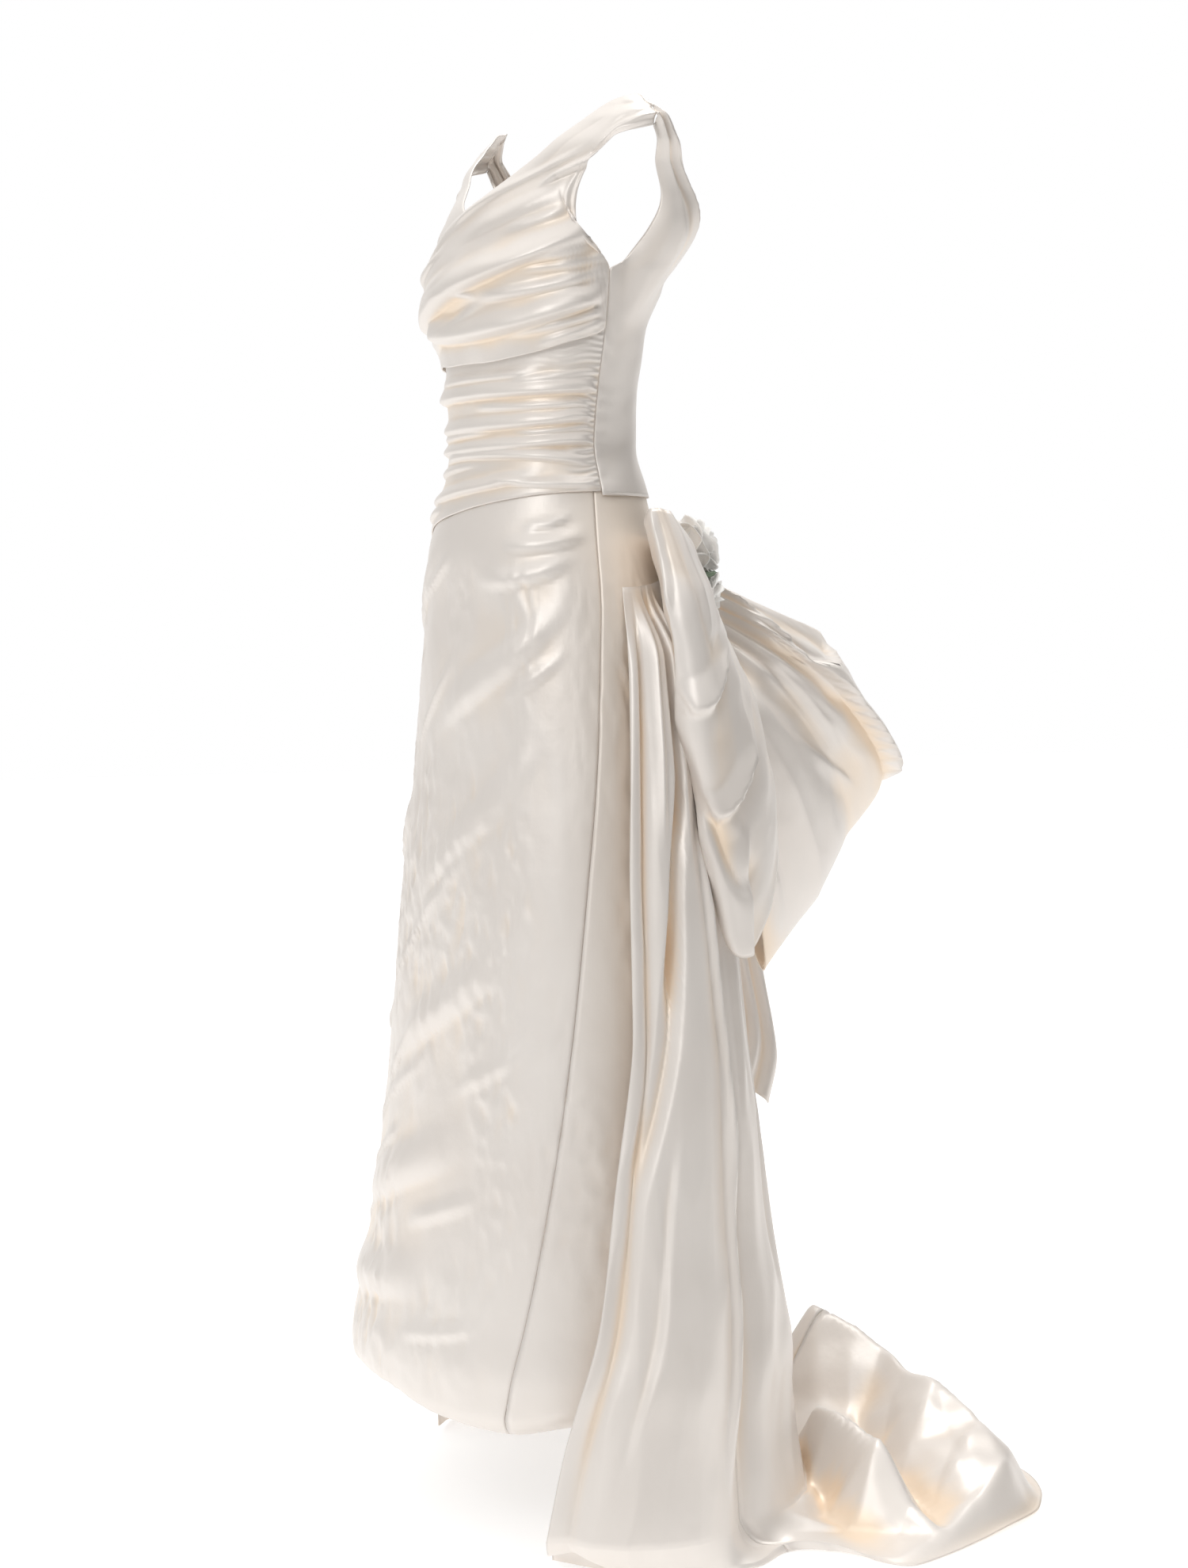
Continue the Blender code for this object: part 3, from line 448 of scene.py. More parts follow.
def draped(angle, level, folds):
    """Cube root of summed cubed ridges: cos^2 above a sagging line, cos below it, faded at both ends."""
    total = 0.0
    for a0, l0, a1, l1, sag, rise, above, below, fade in folds:
        t = (angle - a0) / (a1 - a0)
        away = level - (l0 + (l1 - l0) * t - 4.0 * sag * t * (1.0 - t))
        upper = away > 0.0
        part = np.clip(np.abs(away) / np.where(upper, above, below), 0.0, RIDGE_FOOT)
        ridge = np.cos(part * math.pi / 2.0) ** np.where(upper, 2.0, 1.0)
        total = total + (rise * ridge * smooth(t / fade) * smooth((1.0 - t) / fade)) ** 3
    return np.cbrt(total) * smooth((SIDE_ANGLE - np.abs(angle)) / SIDE_FADE)


def facets(u, v, table):
    """Sum of straight sided ridges, each with its own fall on its two sides, so that flat faces meet."""
    total = np.zeros(np.broadcast(u, v).shape)
    for u0, v0, u1, v1, rise, low, high in table:
        run_u, run_v = u1 - u0, v1 - v0
        along = np.clip(((u - u0) * run_u + (v - v0) * run_v) / (run_u ** 2 + run_v ** 2), 0.0, 1.0)
        away = np.hypot(u - u0 - along * run_u, v - v0 - along * run_v)
        half = np.where((u - u0) * run_v - (v - v0) * run_u > 0.0, high, low)
        ends = smooth(4.0 * along * (1.0 - along) + 0.25)
        total = total + rise * np.clip(1.0 - away / half, 0.0, 1.0) * ends
    return total


def side_gathers(angle, level, side, reach, seed):
    """Tiny ridges that leave a side seam: |sin| of the level, its pitch wandering, dying out in reach."""
    from_seam = np.abs(angle - side)
    wander = GATHER_WANDER * noise(level * 22.0, from_seam * 0.05, seed)
    length = 0.5 + noise(level * 60.0, level * 0.0, seed + 1)
    wave = np.abs(np.sin(math.pi * (level / GATHER_PITCH + wander)))
    dying = np.exp(-from_seam / (reach * (0.6 + length))) * smooth(from_seam / 1.5)
    return GATHER_RISE * (1.0 - wave) * dying


def turned_edge(distance, radius=EDGE_RADIUS):
    """How far cloth curls in beside a folded edge: about a quarter circle of that radius, flattened."""
    t = np.clip(1.0 - distance / radius, 0.0, 1.0)
    return -radius * EDGE_CURL * (1.0 - np.sqrt(1.0 - t * t * 0.98))


LOFT_COLUMNS = ("neck_angle", "neck_level", "low_angle", "low_level")


def lofted_threads(table, cells_each, cells_across):
    """Angles and levels over a panel whose threads run as the table's rows say."""
    rows = np.arange(len(table))
    along = steps(0, len(table) - 1, (len(table) - 1) * cells_each)
    across = steps(0.0, 1.0, cells_across)[None, :]
    neck_angle, neck_level, low_angle, low_level = (
        through(along, rows, table_column(table, LOFT_COLUMNS, name))[:, None]
        for name in LOFT_COLUMNS)
    angle = neck_angle + (low_angle - neck_angle) * across
    level = neck_level + (low_level - neck_level) * across
    return angle, level


def off_seam(angle, edge, side, degrees=SEAM_DEGREES):
    """Angle moved off a seam at edge by half the seam's gap, side being the way it moves."""
    return np.where(np.isclose(angle, edge, atol=1e-6, rtol=0.0), angle + side * degrees, angle)


# %% [markdown]
# ## Front of the bodice
# A surplice front is cut on the bias, gathered into the side seam under the arm and wrapped
# across to the other side. The lapping front carries two deep pleats over the bust and many
# small ones. It could be modelled flat and wrapped on, but here it is one sheet whose
# threads run from the neck edge to the low edge, so the folds follow the cloth.

# %% Left front
# Columns: neck_angle, neck_level, low_angle, low_level, from the side seam to the shoulder
LEFT_FRONT = (
    (-86.0, 1.235, -86.0, 1.195),
    (-66.0, 1.256, -68.0, 1.196),
    (-46.0, 1.285, -48.0, 1.198),
    (-25.0, 1.319, -28.0, 1.200),
    (-8.0, 1.346, -6.0, 1.197),
    (3.0, 1.361, 20.0, 1.197),
    (11.0, 1.373, 45.0, 1.203),
    (16.0, 1.384, 67.0, 1.214),
    (20.5, 1.394, 88.0, 1.232),
    (26.0, 1.408, 88.0, 1.287),
    (33.0, 1.434, 70.0, 1.325),
    (40.0, 1.447, 64.0, 1.362),
    (50.0, 1.457, 61.5, 1.394),
    (65.0, 1.464, 65.0, 1.419),
    (90.0, 1.468, 90.0, 1.430),
)
# Columns: start_angle, start_level, end_angle, end_level, sag, rise, above, below, fade
BODICE_FOLDS = (
    (84.0, 1.332, -60.0, 1.232, 0.010, 0.0125, 0.034, 0.0080, 0.16),
    (92.0, 1.268, -34.0, 1.236, 0.024, 0.0135, 0.028, 0.0075, 0.16),
    (80.0, 1.312, 10.0, 1.292, 0.004, 0.0060, 0.014, 0.0080, 0.30),
    (54.0, 1.408, -4.0, 1.340, -0.002, 0.0036, 0.012, 0.0040, 0.20),
    (70.0, 1.400, 40.0, 1.374, -0.004, 0.0060, 0.012, 0.0060, 0.30),
    (62.0, 1.372, 4.0, 1.325, 0.000, 0.0040, 0.018, 0.0120, 0.40),
    (30.0, 1.255, -40.0, 1.214, 0.002, 0.0060, 0.012, 0.0070, 0.30),
    (26.0, 1.262, -14.0, 1.258, -0.008, 0.0060, 0.008, 0.0050, 0.30),
    (92.0, 1.292, 22.0, 1.262, 0.008, 0.0045, 0.012, 0.0060, 0.25),
    (91.0, 1.304, 44.0, 1.288, 0.004, 0.0030, 0.009, 0.0050, 0.30),
    (92.0, 1.252, 34.0, 1.224, 0.006, 0.0042, 0.011, 0.0050, 0.28),
    (91.0, 1.241, 50.0, 1.212, 0.003, 0.0032, 0.008, 0.0045, 0.30),
    (66.0, 1.352, 30.0, 1.330, 0.002, 0.0026, 0.010, 0.0080, 0.35),
    (18.0, 1.300, -56.0, 1.246, 0.004, 0.0050, 0.016, 0.0080, 0.30),
    (-2.0, 1.322, -46.0, 1.286, 0.004, 0.0040, 0.012, 0.0070, 0.35),
    (-6.0, 1.236, -84.0, 1.212, 0.002, 0.0042, 0.012, 0.0070, 0.25),
    (-30.0, 1.262, -88.0, 1.224, 0.000, 0.0040, 0.012, 0.0070, 0.25),
)
NECK_BAND = (-40.0, 58.0, 0.0200, 0.0022)   # first and last angle, width and rise of its soft roll
NECK_BAND_START, NECK_BAND_STOP = 20.0, 12.0
STRAP_GATHERS, STRAP_GATHER_RISE = 3.5, 0.0032
STRAP_GATHER_ANGLE, STRAP_GATHER_GROWS = 46.0, 34.0
SHOULDER_ANGLE, SHOULDER_GAP = 90.0, 0.5
SOFT_BODICE_RISE, SOFT_SIDE = 0.0018, 12.0
LEFT_FRONT_CELLS = (11, 120)            # between two rows of the table, and across


def strap_gathers(angle, across, seed):
    """Ridges that run up the strap: (1 - cos)/2 across it, growing towards the shoulder."""
    wander = across + 0.10 * noise(angle * 0.06, across * 2.0, seed)
    wave = 0.5 - 0.5 * np.cos(2.0 * math.pi * STRAP_GATHERS * wander)
    grown = smooth((angle - STRAP_GATHER_ANGLE) / STRAP_GATHER_GROWS)
    return STRAP_GATHER_RISE * wave * grown * np.sin(math.pi * across) ** 0.5


def off_both_seams(angle, side):
    """Angle moved off the side seam and off the seam on the shoulder."""
    return off_seam(off_seam(angle, SIDE_ANGLE, side), SHOULDER_ANGLE, side, SHOULDER_GAP)


def front_left():
    """Relief = draped folds + a soft neck roll + side gathers, on two layers of ease."""
    angle, level = lofted_threads(LEFT_FRONT, *LEFT_FRONT_CELLS)
    folds = draped(angle, level, BODICE_FOLDS)
    across = steps(0.0, 1.0, LEFT_FRONT_CELLS[1])[None, :]
    steps_across = np.linalg.norm(np.diff(on_form(angle, level, 0.0), axis=1), axis=2)
    from_neck = across * steps_across.sum(1)[:, None]
    first, last, width, rise = NECK_BAND
    band = rise * np.sin(math.pi * np.clip(from_neck / width, 0.0, 1.0))
    band = band * smooth((angle - first) / NECK_BAND_START) * smooth((last - angle) / NECK_BAND_STOP)
    small = side_gathers(angle, level, SIDE_ANGLE, 9.0, 11) * smooth((1.30 - level) / 0.02)
    soft = SOFT_BODICE_RISE * noise(angle * 0.07, level * 26.0, 5)
    soft = soft * smooth((SIDE_ANGLE - np.abs(angle)) / SOFT_SIDE)
    relief = folds + band + small + soft + strap_gathers(angle, across, 7)
    ease = 2.0 * LAYER + relief + turned_edge(from_neck)
    angle = off_both_seams(angle, -1)
    panel("bodice_front_left", on_form(angle, level, ease),
          hollow=hollows(relief), area=0.085)


front_left()

# %% [markdown]
# The right front lies under the lap, so only its strap and a strip beside the neck show. It
# could stop at the lap, but a real one runs on underneath to its seam, and so does this.

# %% Right front
RIGHT_FRONT = (
    (-16.0, 1.325, -16.0, 1.236),
    (0.0, 1.356, 5.0, 1.230),
    (11.0, 1.373, 45.0, 1.228),
    (20.5, 1.394, 88.0, 1.2225),
    (26.0, 1.408, 88.0, 1.287),
    (33.0, 1.434, 70.0, 1.325),
    (40.0, 1.447, 64.0, 1.362),
    (50.0, 1.457, 61.5, 1.394),
    (65.0, 1.464, 65.0, 1.419),
    (90.0, 1.468, 90.0, 1.430),
)
# Folds as on the left front
RIGHT_FOLDS = (
    (90.0, 1.300, 22.0, 1.352, 0.004, 0.0030, 0.012, 0.007, 0.25),
    (90.0, 1.276, 30.0, 1.310, 0.006, 0.0030, 0.012, 0.007, 0.25),
    (66.0, 1.396, 30.0, 1.392, 0.002, 0.0022, 0.009, 0.006, 0.35),
)
RIGHT_FRONT_CELLS = (9, 60)
LAP_LEVEL, LAP_FADE = 1.245, 0.04       # the folds start over the left front's lap


def front_right():
    """The same loft mirrored: angles towards the wearer's right."""
    angle, level = lofted_threads(RIGHT_FRONT, *RIGHT_FRONT_CELLS)
    relief = draped(angle, level, RIGHT_FOLDS) * smooth((level - LAP_LEVEL) / LAP_FADE)
    relief = relief + strap_gathers(angle, steps(0.0, 1.0, RIGHT_FRONT_CELLS[1])[None, :], 9)
    angle = off_both_seams(angle, -1)
    panel("bodice_front_right", on_form(-angle, level, UNDER_LAP + relief),
          hollow=hollows(relief), flip=True, area=0.055)


front_right()

# %% [markdown]
# ## Backs and straps
# Each strap is cut in one with the back. It is wide and longer than the way over the
# shoulder blade, so it hangs off it in a loose puff that shows behind the arm. A bell-shaped
# swell on the figure's form gives the puff, and ridges across it give its soft folds.

# %% Backs
BACK_BODICE = (
    (180.0, 1.060, 88.0, 1.060),
    (180.0, 1.115, 88.0, 1.115),
    (180.0, 1.170, 88.0, 1.170),
    (180.0, 1.225, 88.0, 1.232),
    (180.0, 1.270, 88.0, 1.287),
    (158.0, 1.300, 97.0, 1.300),
    (142.0, 1.335, 102.0, 1.330),
    (128.0, 1.375, 104.0, 1.365),
    (114.0, 1.415, 101.0, 1.398),
    (101.0, 1.447, 95.0, 1.420),
    (90.0, 1.468, 90.0, 1.430),
)
PUFF_ANGLE, PUFF_LEVEL = 117.0, 1.338
PUFF_RISE, PUFF_SPREAD, PUFF_HEIGHT = 0.042, 26.0, 0.060
PUFF_START, PUFF_END = 96.0, 165.0
PUFF_IN, PUFF_OUT = 11.0, 30.0
STRAP_FALL_LEVEL, STRAP_FALL = 1.232, 0.050
STRAP_FOLD_RISE, DRAG_RISE = 0.0085, 0.0016
BACK_CELLS = (12, 60)


def back_bodice(node, hand, top_ease, seed):
    """Ease = layer + a bell-shaped puff + soft folds that run down the strap; hand is 1 on the left."""
    angle, level = lofted_threads(BACK_BODICE, *BACK_CELLS)
    across = steps(0.0, 1.0, BACK_CELLS[1])[None, :]
    falls = smooth((level - STRAP_FALL_LEVEL) / STRAP_FALL)
    ease = LAYER + (top_ease - LAYER) * falls
    puff = np.exp(-((angle - PUFF_ANGLE) / PUFF_SPREAD) ** 2 - ((level - PUFF_LEVEL) / PUFF_HEIGHT) ** 2)
    swell = smooth((angle - PUFF_START) / PUFF_IN) * smooth((PUFF_END - angle) / PUFF_OUT)
    run = 2.6 * across + 0.5 * noise(across * 2.0 + 0.0 * level, level * 9.0, seed)
    ridges = 1.0 - np.abs(np.sin(math.pi * run))
    strap_folds = STRAP_FOLD_RISE * falls * np.sin(math.pi * across) ** 0.6 * ridges
    drag = DRAG_RISE * (1.0 - falls) * noise(angle * 0.05 - level * 9.0, level * 26.0, seed + 3)
    drag = drag * smooth((angle - SIDE_ANGLE) / 8.0) * smooth((180.0 - angle) / 6.0)
    small = side_gathers(angle, level, SIDE_ANGLE, 5.0, seed + 5) * (1.0 - falls)
    ease = ease + PUFF_RISE * puff * swell + strap_folds + drag + small
    angle = off_seam(off_both_seams(angle, 1), 180.0, -1)
    panel(node, on_form(hand * angle, level, ease),
          hollow=hollows(strap_folds + drag + small), flip=hand > 0, area=0.068)


back_bodice("bodice_back_left", 1, 2.0 * LAYER, 21)
back_bodice("bodice_back_right", -1, UNDER_LAP, 31)

# %% [markdown]
# ## Ruched waist
# The sash is cut much taller than it finishes, and sewn into both side seams in small
# gathers, so that it lies in a stack of folds across the waist. Its lower edge slants. A
# regular wave would look like a corrugated sheet, so every fold is a row of its own.

# %% Waist
WAIST_COLUMNS = ("angle", "foot_level", "top_level")
WAIST_EDGES = (
    (-88.0, 0.990, 1.2090),
    (-60.0, 1.004, 1.2120),
    (-30.0, 1.028, 1.2150),
    (0.0, 1.041, 1.2120),
    (30.0, 1.053, 1.2140),
    (60.0, 1.061, 1.2270),
    (88.0, 1.064, 1.2480),
)
# Folds as on the bodice: start, end, sag, rise, widths above and below, fade
WAIST_FOLDS = (
    (96.0, 1.170, -96.0, 1.166, 0.004, 0.0078, 0.019, 0.0050, 0.10),
    (96.0, 1.143, -96.0, 1.139, 0.010, 0.0060, 0.015, 0.0055, 0.10),
    (96.0, 1.119, -96.0, 1.112, 0.006, 0.0066, 0.013, 0.0055, 0.12),
    (94.0, 1.091, -30.0, 1.098, -0.008, 0.0056, 0.013, 0.0055, 0.20),
    (96.0, 1.073, 20.0, 1.078, 0.004, 0.0048, 0.010, 0.0050, 0.20),
    (60.0, 1.082, -96.0, 1.046, 0.004, 0.0060, 0.014, 0.0055, 0.18),
    (-10.0, 1.052, -96.0, 1.018, 0.002, 0.0055, 0.013, 0.0055, 0.20),
    (94.0, 1.188, 30.0, 1.176, 0.002, 0.0034, 0.009, 0.0045, 0.25),
    (94.0, 1.156, 10.0, 1.152, 0.003, 0.0034, 0.008, 0.0045, 0.25),
    (60.0, 1.186, -40.0, 1.181, 0.002, 0.0036, 0.009, 0.0050, 0.30),
    (92.0, 1.131, 36.0, 1.124, 0.002, 0.0030, 0.007, 0.0040, 0.30),
    (92.0, 1.105, 40.0, 1.107, 0.002, 0.0030, 0.007, 0.0040, 0.30),
    (30.0, 1.128, -60.0, 1.124, 0.003, 0.0034, 0.009, 0.0050, 0.30),
    (20.0, 1.096, -70.0, 1.082, 0.002, 0.0036, 0.009, 0.0050, 0.28),
    (-30.0, 1.064, -92.0, 1.034, 0.001, 0.0034, 0.008, 0.0045, 0.28),
    (-50.0, 1.152, -94.0, 1.156, 0.001, 0.0034, 0.008, 0.0045, 0.28),
    (-46.0, 1.100, -94.0, 1.096, 0.001, 0.0034, 0.008, 0.0045, 0.28),
)
TUCK, TUCK_START, TUCK_FADE, TUCK_SIDE = 0.0026, 0.036, 0.020, 14.0
RUCHE_MARGIN, RUCHE_FADE = 0.016, 0.012
SOFT_WAIST_RISE, RUCHE_HOLLOW = 0.0012, 0.004
WAIST_CELLS = (150, 140)


def waist():
    """Levels run from the slanted foot to the top; relief = stacked folds + gathers at both seams."""
    keys = table_column(WAIST_EDGES, WAIST_COLUMNS, "angle")
    angle = steps(-SIDE_ANGLE + SEAM_DEGREES, SIDE_ANGLE - SEAM_DEGREES, WAIST_CELLS[0])[:, None]
    foot = through(angle, keys, table_column(WAIST_EDGES, WAIST_COLUMNS, "foot_level"))
    top = through(angle, keys, table_column(WAIST_EDGES, WAIST_COLUMNS, "top_level"))
    level = foot + (top - foot) * steps(0.0, 1.0, WAIST_CELLS[1])[None, :]
    angle = np.broadcast_to(angle, level.shape)
    shown = smooth((top - RUCHE_MARGIN - level) / RUCHE_FADE)
    under = smooth((level - (top - TUCK_START)) / TUCK_FADE)
    tuck = TUCK * under * smooth((SIDE_ANGLE - np.abs(angle)) / TUCK_SIDE)
    small = sum(side_gathers(angle, level, side, 12.0, seed)
                for side, seed in ((SIDE_ANGLE, 41), (-SIDE_ANGLE, 43)))
    soft = SOFT_WAIST_RISE * noise(angle * 0.06, level * 70.0, 45)
    soft = soft * smooth((SIDE_ANGLE - np.abs(angle)) / SOFT_SIDE)
    relief = (draped(angle, level, WAIST_FOLDS) + small + soft) * shown
    ease = LAYER - tuck + relief + turned_edge(level - foot)
    panel("waist_drape", on_form(angle, level, ease),
          hollow=hollows(relief, RUCHE_HOLLOW),
          flip=True, area=0.100)


waist()

# %% [markdown]
# ## Column skirt
# The skirt is a narrow column whose side seams slant forward. Its hem is a bubble: the
# cloth rolls under and is sewn up inside. Soft diagonal drags show where the cloth is
# pulled at the hip. Long shallow ridges do that better than noise, which only adds the
# fine wrinkles between them.

# %% Skirt
SKIRT_TOP = 1.075
HEM_ROLL, HEM_TURN = 0.022, math.radians(170)
SKIRT_TUCK, SKIRT_TUCK_LEVEL, SKIRT_TUCK_FADE = 0.0005, 0.985, 0.030
SKIRT_SEAM = ((0.100, 46.0), (0.360, 58.0), (0.675, 71.0), (0.875, 78.0), (1.075, 84.0))
HEM_LEVELS = (
    (-180.0, 0.122), (-90.0, 0.144), (-60.0, 0.147), (-21.0, 0.132), (2.0, 0.127), (22.0, 0.112),
    (46.0, 0.104), (64.0, 0.115), (90.0, 0.120), (180.0, 0.122),
)
# Folds as on the bodice: start, end, sag, rise, widths above and below, fade
SKIRT_FOLDS = (
    (80.0, 1.022, 34.0, 1.008, 0.006, 0.0060, 0.016, 0.0080, 0.35),
    (74.0, 1.000, 20.0, 0.972, 0.010, 0.0055, 0.018, 0.0090, 0.40),
    (70.0, 0.960, -6.0, 0.820, 0.010, 0.0060, 0.034, 0.0180, 0.40),
    (56.0, 0.820, -10.0, 0.640, 0.010, 0.0050, 0.040, 0.0220, 0.40),
    (46.0, 0.600, -20.0, 0.470, 0.008, 0.0060, 0.040, 0.0220, 0.40),
    (30.0, 0.400, -44.0, 0.300, 0.006, 0.0070, 0.044, 0.0240, 0.40),
    (20.0, 0.250, -60.0, 0.225, 0.006, 0.0070, 0.040, 0.0220, 0.40),
    (-8.0, 1.010, -62.0, 0.900, 0.008, 0.0050, 0.034, 0.0200, 0.40),
    (-14.0, 0.760, -70.0, 0.620, 0.008, 0.0050, 0.040, 0.0220, 0.40),
    (64.0, 0.900, 34.0, 0.850, 0.003, 0.0030, 0.014, 0.0080, 0.40),
    (10.0, 0.900, -30.0, 0.780, 0.004, 0.0035, 0.016, 0.0090, 0.40),
    (40.0, 0.740, 4.0, 0.690, 0.003, 0.0030, 0.016, 0.0090, 0.40),
    (50.0, 0.500, 18.0, 0.440, 0.003, 0.0030, 0.018, 0.0100, 0.40),
    (12.0, 0.560, -26.0, 0.420, 0.004, 0.0045, 0.018, 0.0100, 0.40),
    (-4.0, 0.400, -36.0, 0.330, 0.004, 0.0045, 0.016, 0.0090, 0.40),
    (36.0, 0.345, 2.0, 0.300, 0.003, 0.0034, 0.018, 0.0100, 0.40),
    (40.0, 0.215, 8.0, 0.190, 0.003, 0.0034, 0.014, 0.0080, 0.40),
    (26.0, 0.705, -24.0, 0.540, 0.003, 0.0024, 0.020, 0.0050, 0.30),
    (8.0, 0.470, -40.0, 0.372, -0.003, 0.0030, 0.018, 0.0050, 0.30),
    (4.0, 0.350, -52.0, 0.262, 0.006, 0.0024, 0.014, 0.0050, 0.30),
    (60.0, 0.930, 10.0, 0.868, 0.004, 0.0034, 0.016, 0.0050, 0.30),
    (72.0, 1.040, 44.0, 1.024, 0.003, 0.0040, 0.009, 0.0040, 0.30),
    (8.0, 1.000, -30.0, 0.950, 0.003, 0.0030, 0.014, 0.0050, 0.30),
    (-20.0, 0.520, -66.0, 0.450, 0.003, 0.0034, 0.018, 0.0050, 0.30),
)
SHADED_BACK, SHADE_FROM, SHADE_OVER = 0.50, 55.0, 45.0   # the overskirt's shade warms the skirt behind
SWELL_RISE, FINE_RISE, RIPPLE_RISE, WRINKLE_RISE = 0.0018, 0.0008, 0.0026, 0.0019
SMOOTH_HIP, SMOOTH_HIP_FADE = 1.02, 0.08
RIPPLE_LEVEL, RIPPLE_FADE = 0.26, 0.12
DOWN_CELLS, ROLL_CELLS = 200, 16
SEAM_EDGE, SEAM_CURL = 0.35, 0.0012     # metres across a panel, and how far its edges turn in


def hem_level(angle):
    """Level of the skirt's lowest point at an angle."""
    return through(angle, *np.transpose(HEM_LEVELS))


def skirt_panel(node, first, last, cells, area, flip=False):
    """Straight down to the hem, then round the hem roll: out by cos and down by sin of its turn."""
    down = steps(0.0, 1.0, DOWN_CELLS)
    turn = steps(0.0, HEM_TURN, ROLL_CELLS)[1:]
    share = np.concatenate([down, np.ones(len(turn))])[None, :]
    turn = np.concatenate([np.zeros(len(down)), turn])[None, :]
    across = steps(0.0, 1.0, cells)[:, None]
    angle = first(share) + (last(share) - first(share)) * across
    hem = hem_level(np.where(angle > 180.0, angle - 360.0, angle))
    level = SKIRT_TOP + (hem + HEM_ROLL - SKIRT_TOP) * share
    clear = np.sin(math.pi * np.clip(across, 0.02, 0.98)) ** 0.3
    clear = clear * smooth((SMOOTH_HIP - level) / SMOOTH_HIP_FADE)
    swell = SWELL_RISE * noise(angle * 0.05 + level * 3.0, level * 7.0, 51)
    fine = FINE_RISE * noise(angle * 0.16 + level * 8.0, level * 22.0, 52)
    ripple = RIPPLE_RISE * noise(angle * 0.11, level * 6.0, 53)
    ripple = ripple * smooth((RIPPLE_LEVEL - level) / RIPPLE_FADE)
    patch = smooth(0.5 + 1.6 * noise(angle * 0.045, level * 4.0, 54))
    wrinkle = WRINKLE_RISE * patch * creases(angle * 0.16 - level * 14.0, level * 20.0 + angle * 0.16, 55)
    relief = draped(angle, level, SKIRT_FOLDS) + (swell + fine + ripple + wrinkle) * clear
    tuck = SKIRT_TUCK * smooth((level - SKIRT_TUCK_LEVEL) / SKIRT_TUCK_FADE)
    edge = np.minimum(across, 1.0 - across) * SEAM_EDGE
    ease = relief - tuck - HEM_ROLL * (1.0 - np.cos(turn)) + turned_edge(edge, SEAM_CURL)
    behind = SHADED_BACK * smooth((np.minimum(angle, 360.0 - angle) - SHADE_FROM) / SHADE_OVER)
    panel(node, on_form(angle, level - HEM_ROLL * np.sin(turn), ease),
          hollow=hollows(relief) + behind, flip=flip, area=area)


def skirt():
    """Three panels between the two slanting side seams and the centre back seam."""
    levels, angles = np.transpose(SKIRT_SEAM)

    def seam(share):
        return through(SKIRT_TOP - (SKIRT_TOP - levels[0]) * share, levels, angles)

    gap, front, back = SEAM_DEGREES, (0.50, 1.05), (0.42, 1.05)
    skirt_panel("skirt_front", lambda s: gap - seam(s), lambda s: seam(s) - gap, 110, 0.42)
    skirt_panel("skirt_back_left", lambda s: seam(s) + gap, lambda s: 180.0 - gap + 0 * s, 60, 0.35)
    skirt_panel("skirt_back_right", lambda s: 180.0 + gap + 0 * s, lambda s: 360.0 - seam(s) - gap, 60,
                0.35)


skirt()

# %% [markdown]
# ## Overskirt and train
# Four gores are gathered into the hip and fall in organ-pipe folds: narrow at the top and
# wide cones at the floor. A pipe is half a circle in section, so each is the square root of
# 1 - t^2 across its width. Cloth could be simulated into pipes, but then none of them would
# stand where it should.

# %% Overskirt
OVERSKIRT_TOP, OVERSKIRT_BACK_RISE = 0.965, 0.028
FOOT_LEVEL, FLOOR_DROP = 0.020, 0.015     # the hanging cloth's end, and the floor under level nought
FOOT_FLARE = 0.012                      # how fast the foot bends out on to the floor
FOOT_EASE, FOOT_EASE_LEVEL = 0.008, 0.14
OVERSKIRT_COLUMNS = ("level", "left_angle", "right_angle", "side_ease", "back_ease")
OVERSKIRT = (
    (-0.015, 58.5, 270.0, 0.036, 0.034),
    (0.100, 63.0, 270.5, 0.028, 0.030),
    (0.230, 71.0, 271.0, 0.024, 0.028),
    (0.360, 75.5, 271.0, 0.022, 0.024),
    (0.520, 82.0, 271.0, 0.019, 0.020),
    (0.675, 83.5, 270.5, 0.016, 0.018),
    (0.800, 86.5, 269.5, 0.012, 0.014),
    (0.920, 90.5, 268.0, 0.004, 0.005),
    (0.965, 92.0, 268.0, -0.0006, -0.0006),
)
# Columns: top_share, foot_share, head_level, top_rise, foot_rise, top_half, foot_half
PIPES = (
    (0.012, 0.008, 0.940, 0.008, 0.014, 0.012, 0.022),
    (0.080, 0.118, 0.960, 0.022, 0.046, 0.050, 0.098),
    (0.145, 0.215, 0.950, 0.012, 0.006, 0.014, 0.020),
    (0.212, 0.355, 0.960, 0.020, 0.034, 0.042, 0.122),
    (0.272, 0.440, 0.950, 0.014, 0.010, 0.018, 0.030),
    (0.330, 0.522, 0.960, 0.018, 0.032, 0.038, 0.050),
    (0.450, 0.630, 0.960, 0.018, 0.044, 0.050, 0.062),
    (0.520, 0.690, 0.950, 0.012, 0.012, 0.020, 0.024),
    (0.585, 0.740, 0.950, 0.018, 0.040, 0.044, 0.054),
    (0.700, 0.835, 0.950, 0.018, 0.042, 0.050, 0.050),
    (0.768, 0.880, 0.940, 0.010, 0.012, 0.016, 0.020),
    (0.840, 0.915, 0.940, 0.015, 0.040, 0.042, 0.040),
    (0.950, 0.980, 0.900, 0.010, 0.024, 0.036, 0.026),
)
PIPE_HEAD = 0.07                        # share of its length over which a pipe rises from the band


